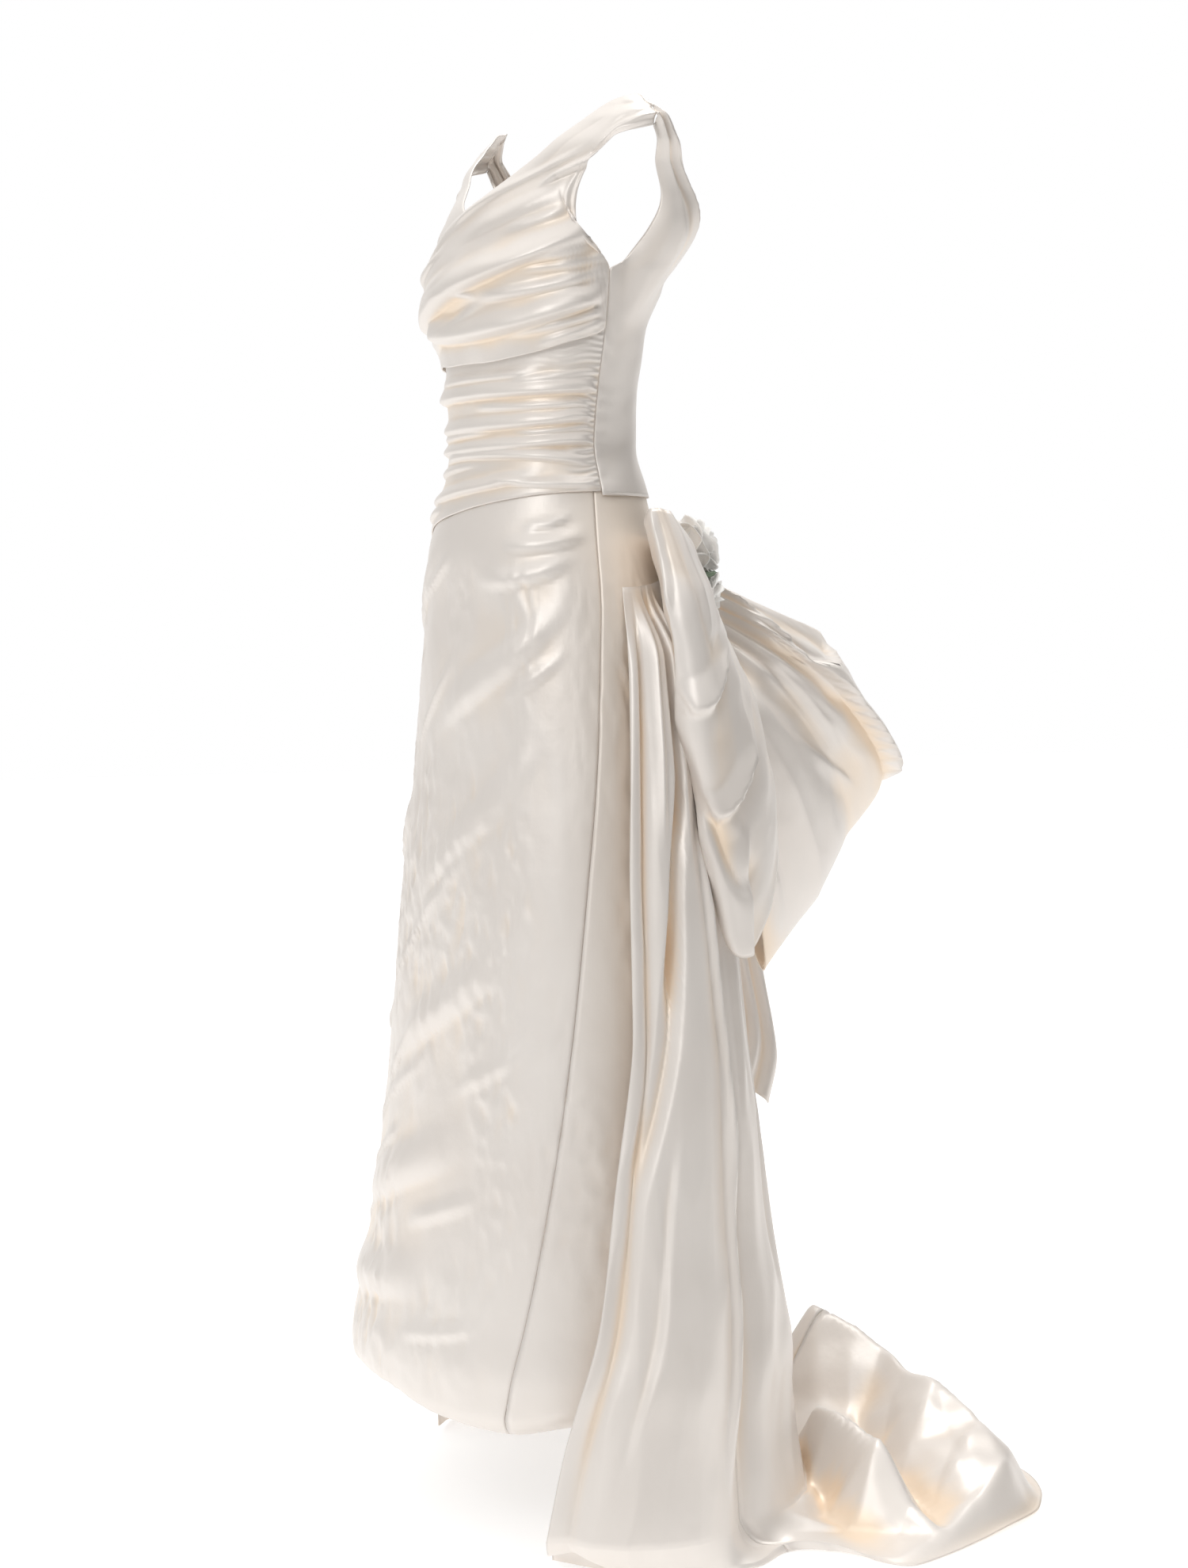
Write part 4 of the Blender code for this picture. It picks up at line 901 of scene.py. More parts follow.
def pipes(share, level):
    """Rise of the organ-pipe folds: the highest of the half circles that cover a point."""
    rise = np.zeros(np.broadcast(share, level).shape)
    for top, foot, head, top_rise, foot_rise, top_half, foot_half in PIPES:
        drop = np.clip((head - level) / head, 0.0, 1.0)
        centre = top + (foot - top) * drop
        half = top_half + (foot_half - top_half) * drop
        height = (top_rise + (foot_rise - top_rise) * drop) * smooth(drop / PIPE_HEAD)
        rise = np.maximum(rise, height * np.sqrt(np.clip(1.0 - ((share - centre) / half) ** 2, 0.0, 1.0)))
    return rise


def overskirt_ease(share, level):
    """The angle round the form at a share of the width, and how far the cloth stands off there."""
    keys = table_column(OVERSKIRT, OVERSKIRT_COLUMNS, "level")
    left, right, side, back = (through(level, keys, table_column(OVERSKIRT, OVERSKIRT_COLUMNS, name))
                               for name in OVERSKIRT_COLUMNS[1:])
    angle = left + (right - left) * share
    behind = np.clip(-np.cos(np.radians(angle)), 0.0, 1.0)
    return angle, LAYER + side + (back - side) * behind


print("pipe folds:", len(PIPES))

# %% [markdown]
# Real pipes are not smooth cones. Folds split off them and stiff creases cross them, so
# small gathers, soft folds and a few listed creases are added to the pipes.

# %% Hanging cloth
# Creases between two points of the hanging cloth, which fall off within low and high metres of them
# Columns: share0, level0, share1, level1, rise, low, high
HANGING_CREASES = (
    (0.078, 0.990, 0.089, 0.700, -0.018, 0.012, 0.018),
    (0.091, 0.800, 0.060, 0.540, -0.017, 0.012, 0.020),
    (0.074, 0.640, 0.030, 0.360, -0.013, 0.014, 0.024),
    (0.120, 0.720, 0.158, 0.340, 0.012, 0.032, 0.006),
    (0.140, 0.480, 0.182, 0.060, 0.012, 0.036, 0.008),
    (0.046, 0.940, 0.052, 0.700, 0.006, 0.010, 0.014),
    (0.112, 0.960, 0.122, 0.760, 0.007, 0.014, 0.006),
    (0.066, 0.420, 0.060, 0.100, -0.006, 0.010, 0.030),
    (0.200, 0.860, 0.236, 0.420, 0.009, 0.022, 0.007),
    (0.262, 0.700, 0.310, 0.240, -0.009, 0.016, 0.022),
    (0.350, 0.900, 0.420, 0.480, 0.008, 0.007, 0.022),
    (0.470, 0.880, 0.560, 0.380, 0.008, 0.022, 0.007),
    (0.600, 0.900, 0.665, 0.500, -0.009, 0.014, 0.020),
    (0.730, 0.860, 0.800, 0.360, 0.008, 0.007, 0.024),
    (0.850, 0.880, 0.880, 0.460, -0.008, 0.016, 0.014),
)
SHARE_LENGTH = 1.2                      # metres round the hanging cloth at half its height
FINE_GATHER_RISE, SOFT_FOLD_RISE, HANGING_CREASE_RISE = 0.0030, 0.0030, 0.0024


def hanging_relief(share, drop, level):
    """Pipes + fine gathers under the band + soft folds + fine creases + the listed creases."""
    gathered = smooth((drop - 0.01) / 0.05) * np.exp(-drop / 0.10)
    fine = FINE_GATHER_RISE * gathered * (0.5 + noise(share * 70.0, drop * 5.0 + 0.0 * share, 61))
    soft = SOFT_FOLD_RISE * noise(share * 22.0, level * 3.2, 62) * smooth(drop / 0.25)
    creased = HANGING_CREASE_RISE * creases(share * 14.0, level * 4.0, 63) * smooth(drop / 0.3)
    in_metres = [(a * SHARE_LENGTH, b, c * SHARE_LENGTH, *rest) for a, b, c, *rest in HANGING_CREASES]
    folded = facets(share * SHARE_LENGTH, level, in_metres)
    below_band = smooth((OVERSKIRT_TOP - level) / 0.03 + 0.2)
    return pipes(share, level) + (fine + soft + creased + folded) * below_band


print("creases on the hanging cloth:", len(HANGING_CREASES))

# %% [markdown]
# Stiff cloth on the floor breaks into flat faces with sharp corners. Noise gives dunes
# instead, so the corners are listed one by one, a triangulation spans them with flat faces,
# and a blur of a few millimetres rounds the creases between them.

# %% Train
# Columns: share of the width, x, y
TRAIN_EDGE = (
    (0.000, 0.228, -0.110), (0.050, 0.285, -0.078), (0.100, 0.318, -0.040), (0.150, 0.330, 0.012),
    (0.190, 0.338, 0.062), (0.225, 0.310, 0.118), (0.265, 0.332, 0.158), (0.320, 0.407, 0.208),
    (0.375, 0.362, 0.335), (0.420, 0.310, 0.430), (0.500, 0.163, 0.505), (0.580, -0.024, 0.510),
    (0.660, -0.167, 0.430), (0.750, -0.300, 0.300), (0.850, -0.340, 0.150), (0.940, -0.330, 0.050),
    (1.000, -0.280, 0.000),
)
# Corners of the train's flat faces, each a place on the floor and its height over it
TRAIN_CORNERS = (
    (0.197, 0.110, 0.062), (0.246, 0.148, 0.074), (0.205, 0.200, 0.052), (0.285, 0.112, 0.010),
    (0.271, 0.133, 0.030), (0.330, 0.100, 0.006), (0.262, 0.190, 0.014), (0.228, 0.208, 0.024),
    (0.169, 0.228, 0.122), (0.216, 0.232, 0.114), (0.285, 0.246, 0.086), (0.306, 0.196, 0.010),
    (0.252, 0.292, 0.018), (0.190, 0.296, 0.024), (0.120, 0.285, 0.040), (0.304, 0.292, 0.012),
    (0.159, 0.393, 0.112), (0.190, 0.404, 0.102), (0.240, 0.402, 0.088), (0.290, 0.398, 0.060),
    (0.330, 0.330, 0.030), (0.376, 0.262, 0.014), (0.286, 0.336, 0.062), (0.216, 0.340, 0.060),
    (-0.013, 0.345, 0.168), (0.026, 0.374, 0.152), (0.062, 0.396, 0.132), (0.112, 0.392, 0.120),
    (0.104, 0.336, 0.052), (0.046, 0.308, 0.074), (-0.020, 0.276, 0.080), (0.000, 0.446, 0.036),
    (0.080, 0.462, 0.022), (0.160, 0.474, 0.012), (-0.060, 0.440, 0.070), (-0.110, 0.270, 0.112),
    (-0.090, 0.350, 0.082), (-0.146, 0.342, 0.024), (-0.200, 0.200, 0.082), (-0.235, 0.330, 0.026),
    (-0.166, 0.262, 0.034), (-0.270, 0.080, 0.062), (-0.320, 0.150, 0.018), (-0.246, 0.150, 0.026),
    (0.450, 0.200, 0.000), (0.430, 0.360, 0.000), (0.330, 0.490, 0.000), (0.160, 0.560, 0.000),
    (-0.050, 0.570, 0.000), (-0.210, 0.480, 0.000), (-0.370, 0.310, 0.000), (-0.410, 0.100, 0.000),
    (-0.360, -0.120, 0.000), (0.000, -0.220, 0.000), (0.310, -0.190, 0.000), (0.390, -0.020, 0.000),
    (0.000, 0.100, 0.000), (0.310, 0.040, 0.004),
)
CREASE_ROUND = 0.0045                   # the faces meet over about this much on each side
# Columns: turn, length, rise, seed
CRUMPLES = ((28.0, 0.150, 0.0060, 71), (104.0, 0.115, 0.0050, 72), (66.0, 0.070, 0.0030, 73),
            (150.0, 0.052, 0.0020, 74))


def crumpled(x, y):
    """Paper-like folds: triangle waves in several directions, their phases bent by noise."""
    total = np.zeros_like(x)
    for turn, length, rise, seed in CRUMPLES:
        bend = 0.9 * noise(x * 4.0, y * 4.0, seed)
        phase = (x * math.cos(math.radians(turn)) + y * math.sin(math.radians(turn))) / length + bend
        total = total + rise * (2.0 * np.abs(2.0 * (phase - np.floor(phase + 0.5))) - 1.0)
    return total


def train_height(x, y):
    """Flat face over a point: each corner's height times the share of the triangle across from it."""
    corners = [Vector(corner[:2]) for corner in TRAIN_CORNERS]
    places, _, triangles, came_from, _, _ = delaunay_2d_cdt(corners, [], [], 0, 1e-6)
    height = np.zeros_like(x)
    for a, b, c in triangles:
        (ax, ay), (bx, by), (cx, cy) = places[a], places[b], places[c]
        over = (by - cy) * (ax - cx) + (cx - bx) * (ay - cy)
        u = ((by - cy) * (x - cx) + (cx - bx) * (y - cy)) / over
        v = ((cy - ay) * (x - cx) + (ax - cx) * (y - cy)) / over
        rise = [TRAIN_CORNERS[came_from[corner][0]][2] for corner in (a, b, c)]
        face = u * rise[0] + v * rise[1] + (1.0 - u - v) * rise[2]
        height = np.where((u > -1e-7) & (v > -1e-7) & (u + v < 1.0 + 1e-7), face, height)
    return height


def rounded_train(x, y):
    """The faces blurred over a few millimetres, so that their creases are soft."""
    turns = steps(0.0, 2.0 * math.pi, 6)[:-1]
    moved = [train_height(x + CREASE_ROUND * math.cos(t), y + CREASE_ROUND * math.sin(t)) for t in turns]
    return sum(moved) / len(moved)


print("corners of the train:", len(TRAIN_CORNERS))

# %% [markdown]
# A gore joins the two: its rows hang to the foot, turn out there and run on to the train's
# edge. It could be two pieces, but the real cloth is not cut at the floor.

# %% Gores
GORES = (
    ("overskirt_side_left", (0.000, 0.000), (0.163, 0.225), (0.30, 1.20), 0.19),
    ("overskirt_back_left", (0.163, 0.225), (0.386, 0.569), (0.62, 1.50), 0.50),
    ("overskirt_back_right", (0.386, 0.569), (0.633, 0.789), (0.46, 1.50), 0.37),
    ("overskirt_side_right", (0.633, 0.789), (1.000, 1.000), (0.44, 1.30), 0.30),
)
GORE_ROWS, GORE_COLUMNS, TRAIN_ROWS = 130, 84, 100
BORDER, BORDER_CRUMPLE = 0.14, 0.10
GORE_SEAM = 0.0002                      # share of the width left open at a sewn edge
HANGING_HOLLOW, TRAIN_HOLLOW, TRAIN_WARMTH = 0.012, 0.016, 1.1
COOL_FOOT = 0.16                        # the hanging cloth's hollows grow pale below this level


def gore(node, first, last, flat, area):
    """One gore: hangs from the hip to the foot level, then runs out over the floor to the train's edge."""
    drop = steps(0.0, 1.0, GORE_ROWS)[None, :]
    start = first[0] + (first[1] - first[0]) * drop + GORE_SEAM * (first[0] > 0.0)
    end = last[0] + (last[1] - last[0]) * drop - GORE_SEAM * (last[0] < 1.0)
    share = start + (end - start) * steps(0.0, 1.0, GORE_COLUMNS)[:, None]
    top = OVERSKIRT_TOP + OVERSKIRT_BACK_RISE * smooth(2.0 * np.minimum(share, 1.0 - share))
    level = top + (FOOT_LEVEL - top) * drop
    angle, ease = overskirt_ease(share, level)
    relief = hanging_relief(share, drop, level)
    ease = ease + FOOT_EASE * smooth(1.0 - level / FOOT_EASE_LEVEL)
    hanging = on_form(angle, np.maximum(level, 0.0), ease + np.maximum(relief, -0.001))
    foot = hanging[:, -1]
    keys, edge_x, edge_y = np.transpose(TRAIN_EDGE)
    edge = np.stack([through(share[:, -1], keys, values) for values in (edge_x, edge_y)], axis=-1)
    out = steps(0.0, 1.0, TRAIN_ROWS)[1:]
    lying = foot[:, None, :2] + (edge - foot[:, :2])[:, None, :] * out[None, :, None]
    reach = np.hypot(*np.moveaxis(lying - foot[:, None, :2], -1, 0))
    left_up = np.exp(-reach / FOOT_FLARE)
    border = smooth((1.0 - out) / BORDER)[None, :]
    x, y = lying[..., 0], lying[..., 1]
    faces = rounded_train(x, y)
    crumple = np.maximum(faces + crumpled(x, y) * smooth(faces / 0.05 + 0.15), 0.0) * (1.0 - left_up)
    crumple = crumple * (BORDER_CRUMPLE + (1.0 - BORDER_CRUMPLE) * border)
    height = WALL + (FOOT_LEVEL + FLOOR_DROP - WALL) * left_up * (1.0 - out)[None, :] + crumple
    lying = np.concatenate([lying, (FLOOR_Z + height)[..., None]], axis=-1)
    points = np.concatenate([hanging, lying], axis=1)
    hung = hollows(relief, HANGING_HOLLOW) * smooth(level / COOL_FOOT)
    deep = np.concatenate([hung, hollows(crumple, TRAIN_HOLLOW)], axis=1)
    panel(node, points,
          hollow=deep * TRAIN_WARMTH, area=area)


for row in GORES:
    gore(*row)

# %% [markdown]
# ## Bow
# Each loop of the bow is one wide ribbon that leaves the knot gathered, runs out, turns
# round and comes back, so it is a flattened tube. Its two sheets part within a third of
# the way, and gathers spread from the knot like the ribs of a fan.

# %% Bow
KNOT_HALF, KNOT_BEVEL = (0.024, 0.020, 0.028), 0.012
LOOP_COLUMNS = ("share", "x", "y", "level", "bow", "half", "droop")
LEFT_LOOP = (
    (0.00, 0.205, 0.036, 1.045, 0.004, 0.012, -0.016),
    (0.20, 0.238, 0.050, 0.950, 0.004, 0.015, 0.000),
    (0.50, 0.258, 0.066, 0.819, 0.012, 0.020, 0.020),
    (0.75, 0.256, 0.086, 0.700, 0.030, 0.026, 0.026),
    (1.00, 0.244, 0.112, 0.587, 0.044, 0.022, 0.020),
)
RIGHT_LOOP = (
    (0.00, -0.100, 0.400, 0.915, 0.010, 0.040, -0.010),
    (0.20, -0.110, 0.446, 0.835, 0.014, 0.058, 0.000),
    (0.40, -0.120, 0.495, 0.745, 0.018, 0.064, 0.010),
    (0.65, -0.105, 0.430, 0.665, 0.020, 0.058, 0.020),
    (0.85, -0.070, 0.350, 0.590, 0.022, 0.044, 0.020),
    (1.00, -0.030, 0.290, 0.535, 0.024, 0.026, 0.020),
)
LOOP_ROOT, LOOP_ROOT_GAP, LOOP_STANDOFF = 0.025, 0.0040, 0.0009
LOOP_OPENS, LOOP_SAG_POWER = 0.35, 0.8
GATHERS, BOW_GATHER_RISE = 7, 0.0070
LEFT_PUFF, LEFT_LEAN = 0.80, -0.012
LEFT_SPAN = (0.045, 0.458)              # half width and height of the left loop's turned edge
PUFF_FROM, PUFF_OVER = 0.45, 0.40
LOOP_CELLS = (110, 140)                 # down its end, and once round its turn
RIB_RISE, LOOP_CRUMPLE_RISE, CRUMPLES_FROM = 0.0022, 0.0016, 0.12
GATHER_REACH, RIB_REACH = 0.30, 0.4
LOOP_HOLLOW, LOOP_WARMTH = 0.009, 1.15
knot_low, knot_high = (np.array(corner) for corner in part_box("bow_knot"))
knot_centre = (knot_low + knot_high) / 2.0
print("knot at", knot_centre.round(3))

# %% [markdown]
# The creases that make the cloth look stiff are listed one by one. They lift it along its own
# face: out from the flat sheets, and outwards where the cloth turns round.

# %% Loops
# Creases: u0, v0, u1, v1, rise, and how far the cloth falls off on their low and high sides
# On the left loop u is metres to the back from the middle of the turned edge, v metres down
LEFT_CREASES = (
    (-0.035, 0.000, -0.038, 0.150, 0.0080, 0.004, 0.016),
    (-0.016, -0.010, -0.022, 0.140, 0.0090, 0.014, 0.004),
    (0.006, -0.010, 0.016, 0.110, 0.0085, 0.004, 0.020),
    (-0.040, 0.176, 0.014, 0.214, 0.0085, 0.006, 0.030),
    (0.010, 0.060, 0.036, 0.300, 0.0110, 0.040, 0.010),
    (-0.040, 0.292, 0.008, 0.316, 0.0100, 0.005, 0.026),
    (0.012, 0.310, -0.012, 0.400, -0.0080, 0.018, 0.010),
    (-0.016, 0.340, -0.006, 0.480, 0.0100, 0.006, 0.030),
    (0.024, 0.320, 0.020, 0.470, 0.0100, 0.020, 0.006),
    (-0.044, 0.150, -0.034, 0.300, 0.0050, 0.005, 0.014),
)
# On the right loop u is the share down its end and v the reach out from the knot
RIGHT_CREASES = (
    (0.320, 0.470, 0.415, 1.050, 0.0260, 0.260, 0.010),
    (0.320, 0.460, 0.045, 0.880, 0.0160, 0.010, 0.130),
    (0.020, 0.280, 0.170, 0.420, 0.0080, 0.014, 0.060),
    (0.170, 0.420, 0.310, 0.470, 0.0080, 0.016, 0.050),
    (0.200, 0.080, 0.315, 0.460, 0.0110, 0.070, 0.014),
    (0.480, 0.080, 0.560, 0.700, 0.0060, 0.120, 0.050),
    (0.710, 0.500, 0.570, 0.820, 0.0030, 0.012, 0.050),
    (0.820, 0.250, 0.820, 1.060, 0.0220, 0.200, 0.170),
    (0.930, 0.200, 0.950, 0.950, 0.0060, 0.014, 0.040),
)


def loop(node, table, ridges, puff, lean, hand, area, seed):
    """Out along (1 - cos t)/2 for t once round; the sheets stand apart by sin t times the half gap."""
    share = steps(0.0, 1.0, LOOP_CELLS[0])[:, None]
    keys = table_column(table, LOOP_COLUMNS, "share")
    x, y, level, bow, half, droop = (through(share, keys, table_column(table, LOOP_COLUMNS, name))
                                     for name in LOOP_COLUMNS[1:])
    stand_off = KNOT_HALF[0] + (LOOP_STANDOFF if hand > 0 else LOOP_STANDOFF + WALL)
    root = knot_centre + (hand * stand_off, 0.0, 0.0)
    root_z = root[2] + LOOP_ROOT * (1.0 - 2.0 * share)
    round_turn = steps(0.0, 2.0 * math.pi, LOOP_CELLS[1])[None, :]
    out = (1.0 - np.cos(round_turn)) / 2.0
    run_x, run_y = x - root[0], y - root[1]
    length = np.hypot(run_x, run_y)
    across_x, across_y = -run_y / length * hand, run_x / length * hand
    opened = smooth(out / LOOP_OPENS)
    side_x, side_y = across_x * opened, across_y * opened + (1.0 - opened)
    gathers = BOW_GATHER_RISE * np.sin(2.0 * math.pi * GATHERS * share)
    gathers = gathers * np.exp(-out / GATHER_REACH) * smooth(out / 0.05)
    fan = RIB_RISE * noise(share * 22.0 + 0.0 * out, out * 3.0, seed)
    fan = fan * np.exp(-out / RIB_REACH) * smooth(out / 0.06)
    which = np.sin(round_turn)
    crumple = creases(share * 5.0 + 0.7 * out, out * 4.0 + 3.0 * np.sign(which), seed + 1)
    crumple = LOOP_CRUMPLE_RISE * crumple * smooth(out / CRUMPLES_FROM) * np.abs(which) ** 0.6
    outer = smooth((out - PUFF_FROM) / PUFF_OVER)
    sheet = which * (LOOP_ROOT_GAP + (half - LOOP_ROOT_GAP) * opened) * (1.0 + puff * outer)
    ends = np.cos(round_turn / 2.0) * LOOP_ROOT_GAP * (1.0 - opened)
    if hand > 0:
        folded = facets(-which * LEFT_SPAN[0], share * LEFT_SPAN[1], ridges)
    else:
        folded = facets(share, out, ridges)
    folded = folded * smooth(out / CRUMPLES_FROM)
    face_side, face_out = which * length / 2.0, -np.cos(round_turn) * half * (1.0 + puff)
    face = np.hypot(face_side, face_out)
    offset = sheet + ends + bow * np.sin(math.pi * out) + lean * outer
    offset = offset + gathers + fan + crumple * np.sign(which) + folded * face_side / face
    outward = out + folded * face_out / face / length
    points = np.stack([root[0] + run_x * outward + side_x * offset,
                       root[1] + run_y * outward + side_y * offset,
                       root_z + (level - HOLD_LEVEL - root_z) * out ** LOOP_SAG_POWER
                       + droop * np.sin(math.pi * out)], axis=-1)
    deep = LOOP_WARMTH * hollows(crumple + fan + gathers + folded, LOOP_HOLLOW, 2)
    panel(node, points, hollow=deep, flip=hand < 0, area=area)


loop("bow_loop_left", LEFT_LOOP, LEFT_CREASES, LEFT_PUFF, LEFT_LEAN, 1, 0.18, 81)
loop("bow_loop_right", RIGHT_LOOP, RIGHT_CREASES, 0.0, 0.0, -1, 0.26, 91)

# %% [markdown]
# The tail leaves the knot behind the far loop and hangs in knife pleats to a slanted end. A
# ribbon carried along a given line is enough, because it hangs nearly flat.

# %% Tail
TAIL_COLUMNS = ("share", "x", "y", "level", "half_width")
TAIL = (
    (0.00, -0.004, 0.1320, 0.9532, 0.006),
    (0.10, -0.045, 0.1325, 0.935, 0.007),
    (0.25, -0.120, 0.185, 0.870, 0.018),
    (0.45, -0.200, 0.262, 0.750, 0.028),
    (0.70, -0.205, 0.352, 0.580, 0.036),
    (0.90, -0.168, 0.356, 0.450, 0.034),
    (1.00, -0.160, 0.340, 0.390, 0.034),
)
TAIL_SLANT, TAIL_PLEATS, TAIL_PLEAT_RISE = 0.030, 3, 0.004
TAIL_PLEAT_START, TAIL_SLANT_START = 0.3, 0.6
TAIL_CELLS = (140, 60)


def tail():
    """Centre line through the table, half its width each way, folded by a sine into pleats."""
    share = steps(0.0, 1.0, TAIL_CELLS[0])[:, None]
    keys = table_column(TAIL, TAIL_COLUMNS, "share")
    x, y, level, half = (through(share, keys, table_column(TAIL, TAIL_COLUMNS, name))
                         for name in TAIL_COLUMNS[1:])
    across = steps(-1.0, 1.0, TAIL_CELLS[1])[None, :]
    pleat = TAIL_PLEAT_RISE * np.sin(math.pi * TAIL_PLEATS * across) * smooth(share / TAIL_PLEAT_START)
    slant = TAIL_SLANT * across * smooth(share / TAIL_SLANT_START)
    points = np.stack([x + pleat, y + half * across, level - HOLD_LEVEL - slant], axis=-1)
    panel("bow_tail", points, hollow=hollows(pleat),
          area=0.055)


tail()

# %% [markdown]
# The knot is a band of the same cloth pulled round the middle of the bow. It could be a
# bevelled box, but a rounded block from one formula also takes fine pleats round it.

# %% Knot
KNOT_PLEATS, KNOT_PLEAT_SHARE = 4.5, 0.035
KNOT_CELLS = (96, 48)
KNOT_MERGE = 0.00005


def knot():
    """Superellipsoid: each axis is the root of a sine or cosine, so that the sides are nearly flat."""
    around = steps(0.0, 2.0 * math.pi, KNOT_CELLS[0])[:, None]
    rise = steps(-math.pi / 2.0, math.pi / 2.0, KNOT_CELLS[1])[None, :]

    def rounded(value):
        return np.sign(value) * np.abs(value) ** 0.5

    half = (knot_high - knot_low) / 2.0
    wave = np.abs(np.sin(KNOT_PLEATS * math.pi * (np.cos(around) * np.cos(rise))))
    pleats = 1.0 - KNOT_PLEAT_SHARE * wave
    points = knot_centre + np.stack([half[0] * rounded(np.cos(rise)) * rounded(np.cos(around)),
                                     half[1] * rounded(np.cos(rise)) * rounded(np.sin(around)) * pleats,
                                     half[2] * rounded(np.sin(rise)) * pleats], axis=-1)
    made = grid_object("bow_knot_cloth", points, SATIN)
    weld = made.modifiers.new("closed", "WELD")
    weld.merge_threshold = KNOT_MERGE
    dress(made, "bow_knot")
    print("bow_knot", points.shape[:2])


knot()

# %% [markdown]
# ## Roses and leaves
# A cloth rose is many petals set in a spiral round a tight bud, each cupped and rolled
# back at its lip. A sphere with bumps would not read as a rose, so every petal is a small
# curved sheet and all petals of a rose are one mesh.

# %% Rose and leaf materials
PETAL_WHITE = (0.99, 0.975, 0.95, 1.0)
# painted shade, blended in towards the foot of each petal
PETAL_SHADE = (0.96, 0.93, 0.89, 1.0)
LEAF_DARK = (0.075, 0.115, 0.070, 1.0)
LEAF_LIGHT = (0.150, 0.210, 0.125, 1.0)
PETAL_GRAINS_PER_METRE, VEINS_PER_METRE = 900.0, 60.0
TRIM_BUMP_DEPTH = 0.0004


def petal_material():
    """White cloth with painted shade, a little creamier, low in each petal."""
    material, start, shader = new_material("petal_cloth")
    body = start.node("ShaderNodeTexCoord", output=3)
    hollow = start.node("ShaderNodeAttribute", {"attribute_name": "hollow"}, output=2)
    grain = start.node("ShaderNodeTexNoise", None,
                       {"Vector": body, "Scale": PETAL_GRAINS_PER_METRE, "Detail": 2.0})
    bump = start.node("ShaderNodeBump", None,
                      {"Strength": 0.3, "Distance": TRIM_BUMP_DEPTH, "Height": grain})
    feed(shader, Base_Color=hollow.held().blend(PETAL_WHITE, PETAL_SHADE), Normal=bump,
         Roughness=0.62 + grain * 0.1, Sheen_Weight=0.3)
    return material


def leaf_material():
    """Dark green cloth, lighter along its veins."""
    material, start, shader = new_material("leaf_cloth")
    place = start.node("ShaderNodeUVMap", {"uv_map": "cloth"})
    veins = start.node("ShaderNodeTexWave", {"bands_direction": "DIAGONAL"},
                       {"Vector": place, "Scale": VEINS_PER_METRE, "Distortion": 1.5}, output=1)
    bump = start.node("ShaderNodeBump", None,
                      {"Strength": 0.4, "Distance": TRIM_BUMP_DEPTH, "Height": veins})
    feed(shader, Base_Color=(veins * 0.5).held().blend(LEAF_DARK, LEAF_LIGHT), Normal=bump,
         Roughness=0.50 + veins * 0.1, Sheen_Weight=0.2)
    return material


PETAL_CLOTH, LEAF_CLOTH = petal_material(), leaf_material()
print("trims:", PETAL_CLOTH.name, LEAF_CLOTH.name)

# %% Roses
# Columns: name, turn, lift, radius, height
ROSES = (
    ("rose_upper", 15.0, 30.0, 0.0340, 0.038),
    ("rose_lower", 25.0, -25.0, 0.0370, 0.041),
    ("rose_bud", -35.0, 55.0, 0.0260, 0.033),
)
GOLDEN_TURN = math.radians(137.5)
ROSE_SEAT = 0.0005
PETALS, PETAL_CELLS, PETAL_WALL = 14, (14, 16), 0.0004
WIDEST_PETAL, NARROWING = 118.0, 62.0   # half the turn that the inmost petal takes, and its loss outwards
BUD_SHARE, BLOOM_SHARE = 0.10, 0.86     # of the radius, at the first petal and beyond it at the last
LIP_FROM, LIP_CURL, LIP_DROP = 0.66, 0.26, 0.16
RAGGED, WAVE_SHARE = 0.22, 0.06


def facing(turn, lift):
    """Direction a turn round from behind and a lift up, and the two directions across it."""
    a, b = math.radians(turn), math.radians(lift)
    outward = np.array([math.sin(a) * math.cos(b), math.cos(a) * math.cos(b), math.sin(b)])
    sideways = np.array([math.cos(a), -math.sin(a), 0.0])
    return outward, sideways, np.cross(outward, sideways)


def on_knot(outward):
    """Point just off the rounded knot where a plate facing outward would touch it."""
    core = (np.array(KNOT_HALF) - KNOT_BEVEL) * np.sign(np.round(outward, 3))
    return knot_centre + core + (KNOT_BEVEL + ROSE_SEAT) * outward


def joined_grids(name, grids, material, hollow_grids):
    """Several grids as one mesh."""
    points = np.concatenate([grid.reshape(-1, 3) for grid in grids])
    depth = np.concatenate([grid.ravel() for grid in hollow_grids])
    faces, start = [], 0
    for grid in grids:
        faces.append(grid_faces(*grid.shape[:2], False) + start)
        start += grid.shape[0] * grid.shape[1]
    mesh = bpy.data.meshes.new(name)
    mesh.from_pydata(points.tolist(), [], np.concatenate(faces).tolist())
    mesh.attributes.new("hollow", "FLOAT", "POINT").data.foreach_set("value", depth.astype(np.float32))
    mesh.shade_smooth()
    mesh.materials.append(material)
    made = bpy.data.objects.new(name, mesh)
    bpy.context.scene.collection.objects.link(made)
    return made


